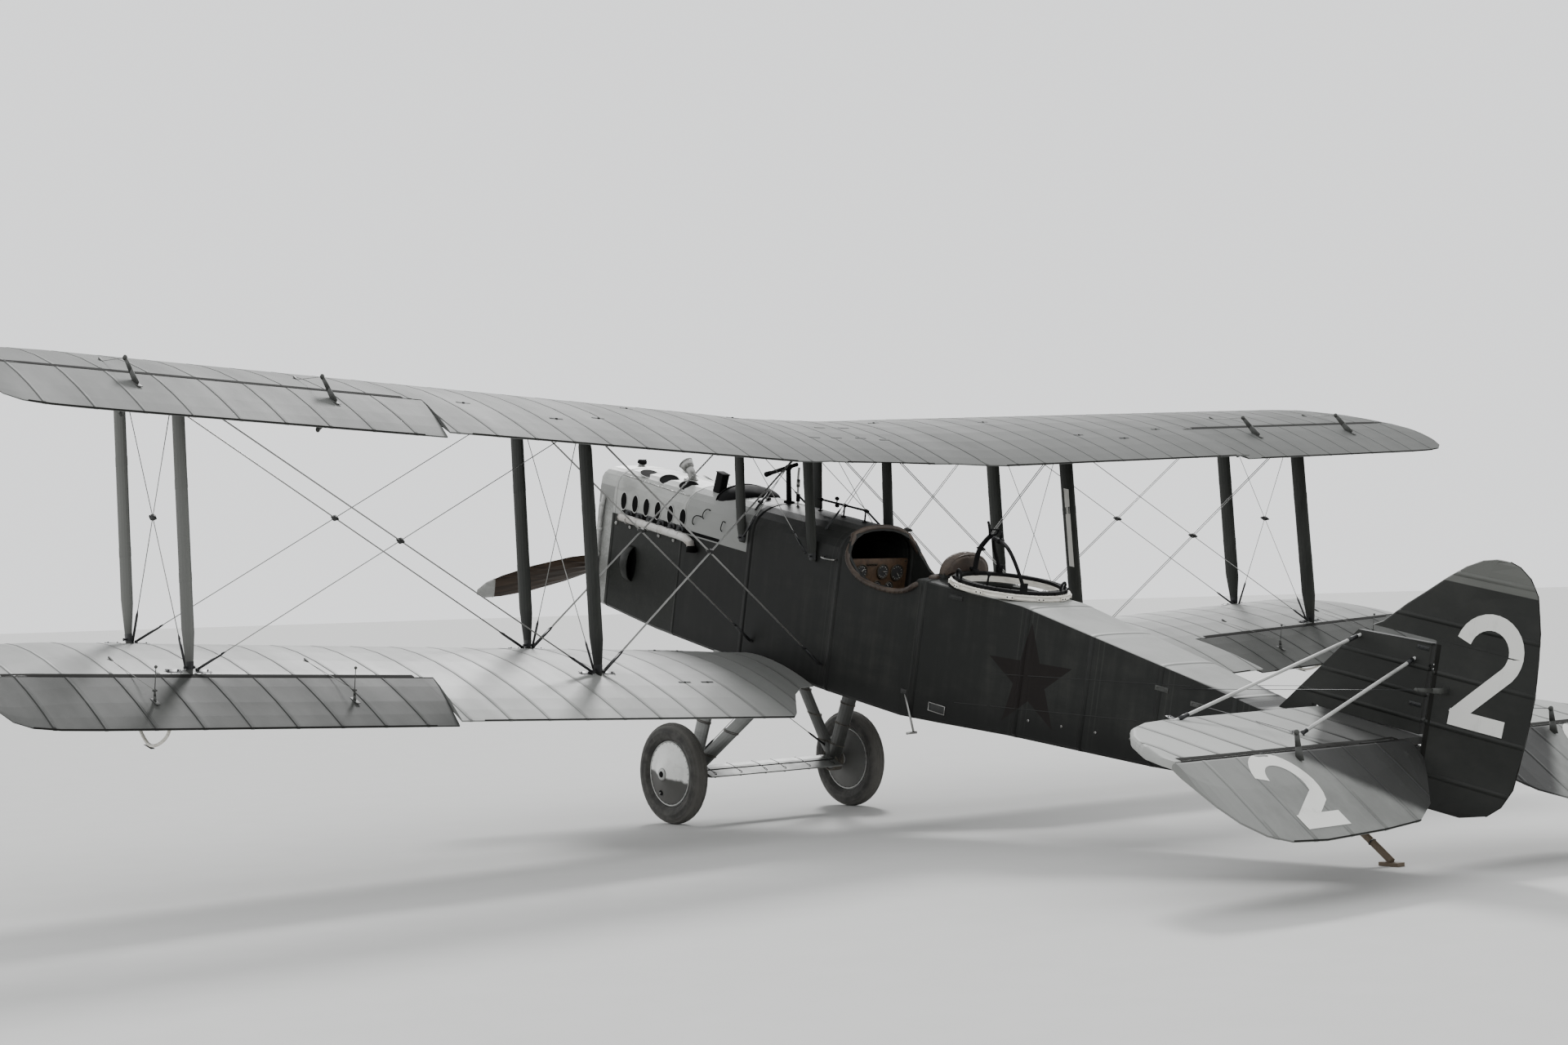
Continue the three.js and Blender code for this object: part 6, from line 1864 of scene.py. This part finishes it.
rod(boss_plates, nose_nut, nose_nut - aft(0.016), 0.052, 8)
rod(boss_plates, nose_nut - aft(0.014), nose_nut - aft(0.026), 0.028, 20)
placed('propeller_flanges_and_nut', boss_plates, bare_steel, 'propeller')
placed('sheath_rivets', rivets, bare_steel, 'propeller')


# Fuselage details: a toe hole and a hand hole with light lips, a step rod under the second
# cockpit, lapped seams on the sides, and the laced cover low down on each side of the tail.
FUSELAGE_JOINT = 2.99
side_light, side_dark = bmesh.new(), bmesh.new()
for side in (1, -1):
    for y, z, wide, tall in ((2.335, 1.878, 0.066, 0.014), (2.278, 1.041, 0.080, 0.030)):
        seat = beside('fuselage_front', side, y, z)
        # Each hole is a dark plate inside its lip: painted shade for the opening.
        block(side_dark, (wide * 2, tall * 2, 0.003), seat @ moved((0, 0, 0.0005)), 0.001, 1)
        lip = [seat @ Vector((wide * x, tall * y, 0.002)) for x, y in ((1, 1), (-1, 1), (-1, -1), (1, -1))]
        bent(side_light if tall > 0.02 else side_dark, lip, 0.004, closed=True, smooth=False)
    foot = beside('fuselage_front', side, 1.934, 1.090).translation
    rod(side_light, foot - port(side * 0.01), (foot.x + side * 0.012, 2.105, 0.820), 0.0085, 12)
    rod(side_light, (foot.x - side * 0.015, 2.105, 0.820), (foot.x + side * 0.085, 2.110, 0.820), 0.0095, 12)
    block(side_dark, (0.060, 0.036, 0.005), beside('fuselage_front', side, 1.934, 1.090), 0.0015, 1)
    for start, end in (((2.675, 1.395), (4.674, 1.745)), ((2.442, 1.125), (4.085, 1.385))):
        for first, last in ((0.0, 0.19), (0.21, 1.0)):
            path = []
            for k in range(9):
                part = first + (last - first) * k / 8
                y, z = Vector(start).lerp(Vector(end), part)
                node = 'fuselage_front' if y < FUSELAGE_JOINT else 'fuselage_rear'
                spot = skin_tree(node).ray_cast(Vector((side * 2, y, z)), port(-side))[0]
                if spot:
                    path.append(spot)
            bent(side_dark, path, 0.0024, sides=4, smooth=False)
    for k in range(9):
        seat = beside('fuselage_rear', side, 3.15 + 0.30 * k, 1.16 + 0.030 * k + (0.02 if k > 6 else 0))
        rod(side_light, seat @ raised(-0.001), seat @ raised(0.003), 0.009, 12)
        rod(side_dark, seat @ raised(0.001), seat @ raised(0.0036), 0.0045, 10)
placed('fuselage_light_trim', side_light, bare_steel)
placed('fuselage_dark_trim', side_dark, dark_painted)


# Wing details: short dark slots of doped tape over the strut and pulley fittings on the top
# skins, round inspection rings, and drain grommets along the trailing edges underneath.
patches, grommets = bmesh.new(), bmesh.new()
for hand, side in SIDES:
    for deck, marks in (('upper', ((2.48, 0.690), (2.92, 0.812), (1.86, 0.155), (0.74, 0.024), (3.55, 0.60))),
                        ('lower', ((1.40, 0.205), (1.19, 0.215), (1.83, 1.170), (1.62, 1.165)))):
        for x, y in marks:
            seat = on_skin(f'{deck}_wing_{hand}', (side * x, y, 5 if deck == 'upper' else 2.4), DOWN, (1, 0, 0))
            block(patches, (0.110, 0.022, 0.004), seat @ moved((0, 0, 0.001)), 0.002)
            ball(patches, seat @ raised(0.003), 0.011, (1, 1, 0.6), 8)
        for k in range(18):
            x = FIRST_RIB + RIB_PITCH * (k + 0.5)
            if x < 3.8:
                nearest = skin_tree(f'{deck}_wing_{hand}').find_nearest
                edge = nearest(Vector((side * x, 8, 2.8 if deck == 'upper' else 1)))[0]
                seat = nearest(edge + Vector((0, -0.06, -0.05)))[0]
                bent(grommets, circle(moved(seat), 0.008, count=8, lift=-0.001), 0.0022,
                     closed=True, sides=4, smooth=False)
for x, y in ((0.36, 0.590), (-0.36, 0.600), (0.12, 0.570), (-0.14, 0.560), (0.02, 0.240), (-0.24, 0.230)):
    seat = on_skin('upper_wing_center', (x, y, 5), DOWN, (1, 0, 0))
    block(patches, (0.105, 0.020, 0.004), seat @ moved((0, 0, 0.001)), 0.002)
placed('wing_slot_tapes', patches, dark_painted)
placed('drain_grommets', grommets, bare_steel)
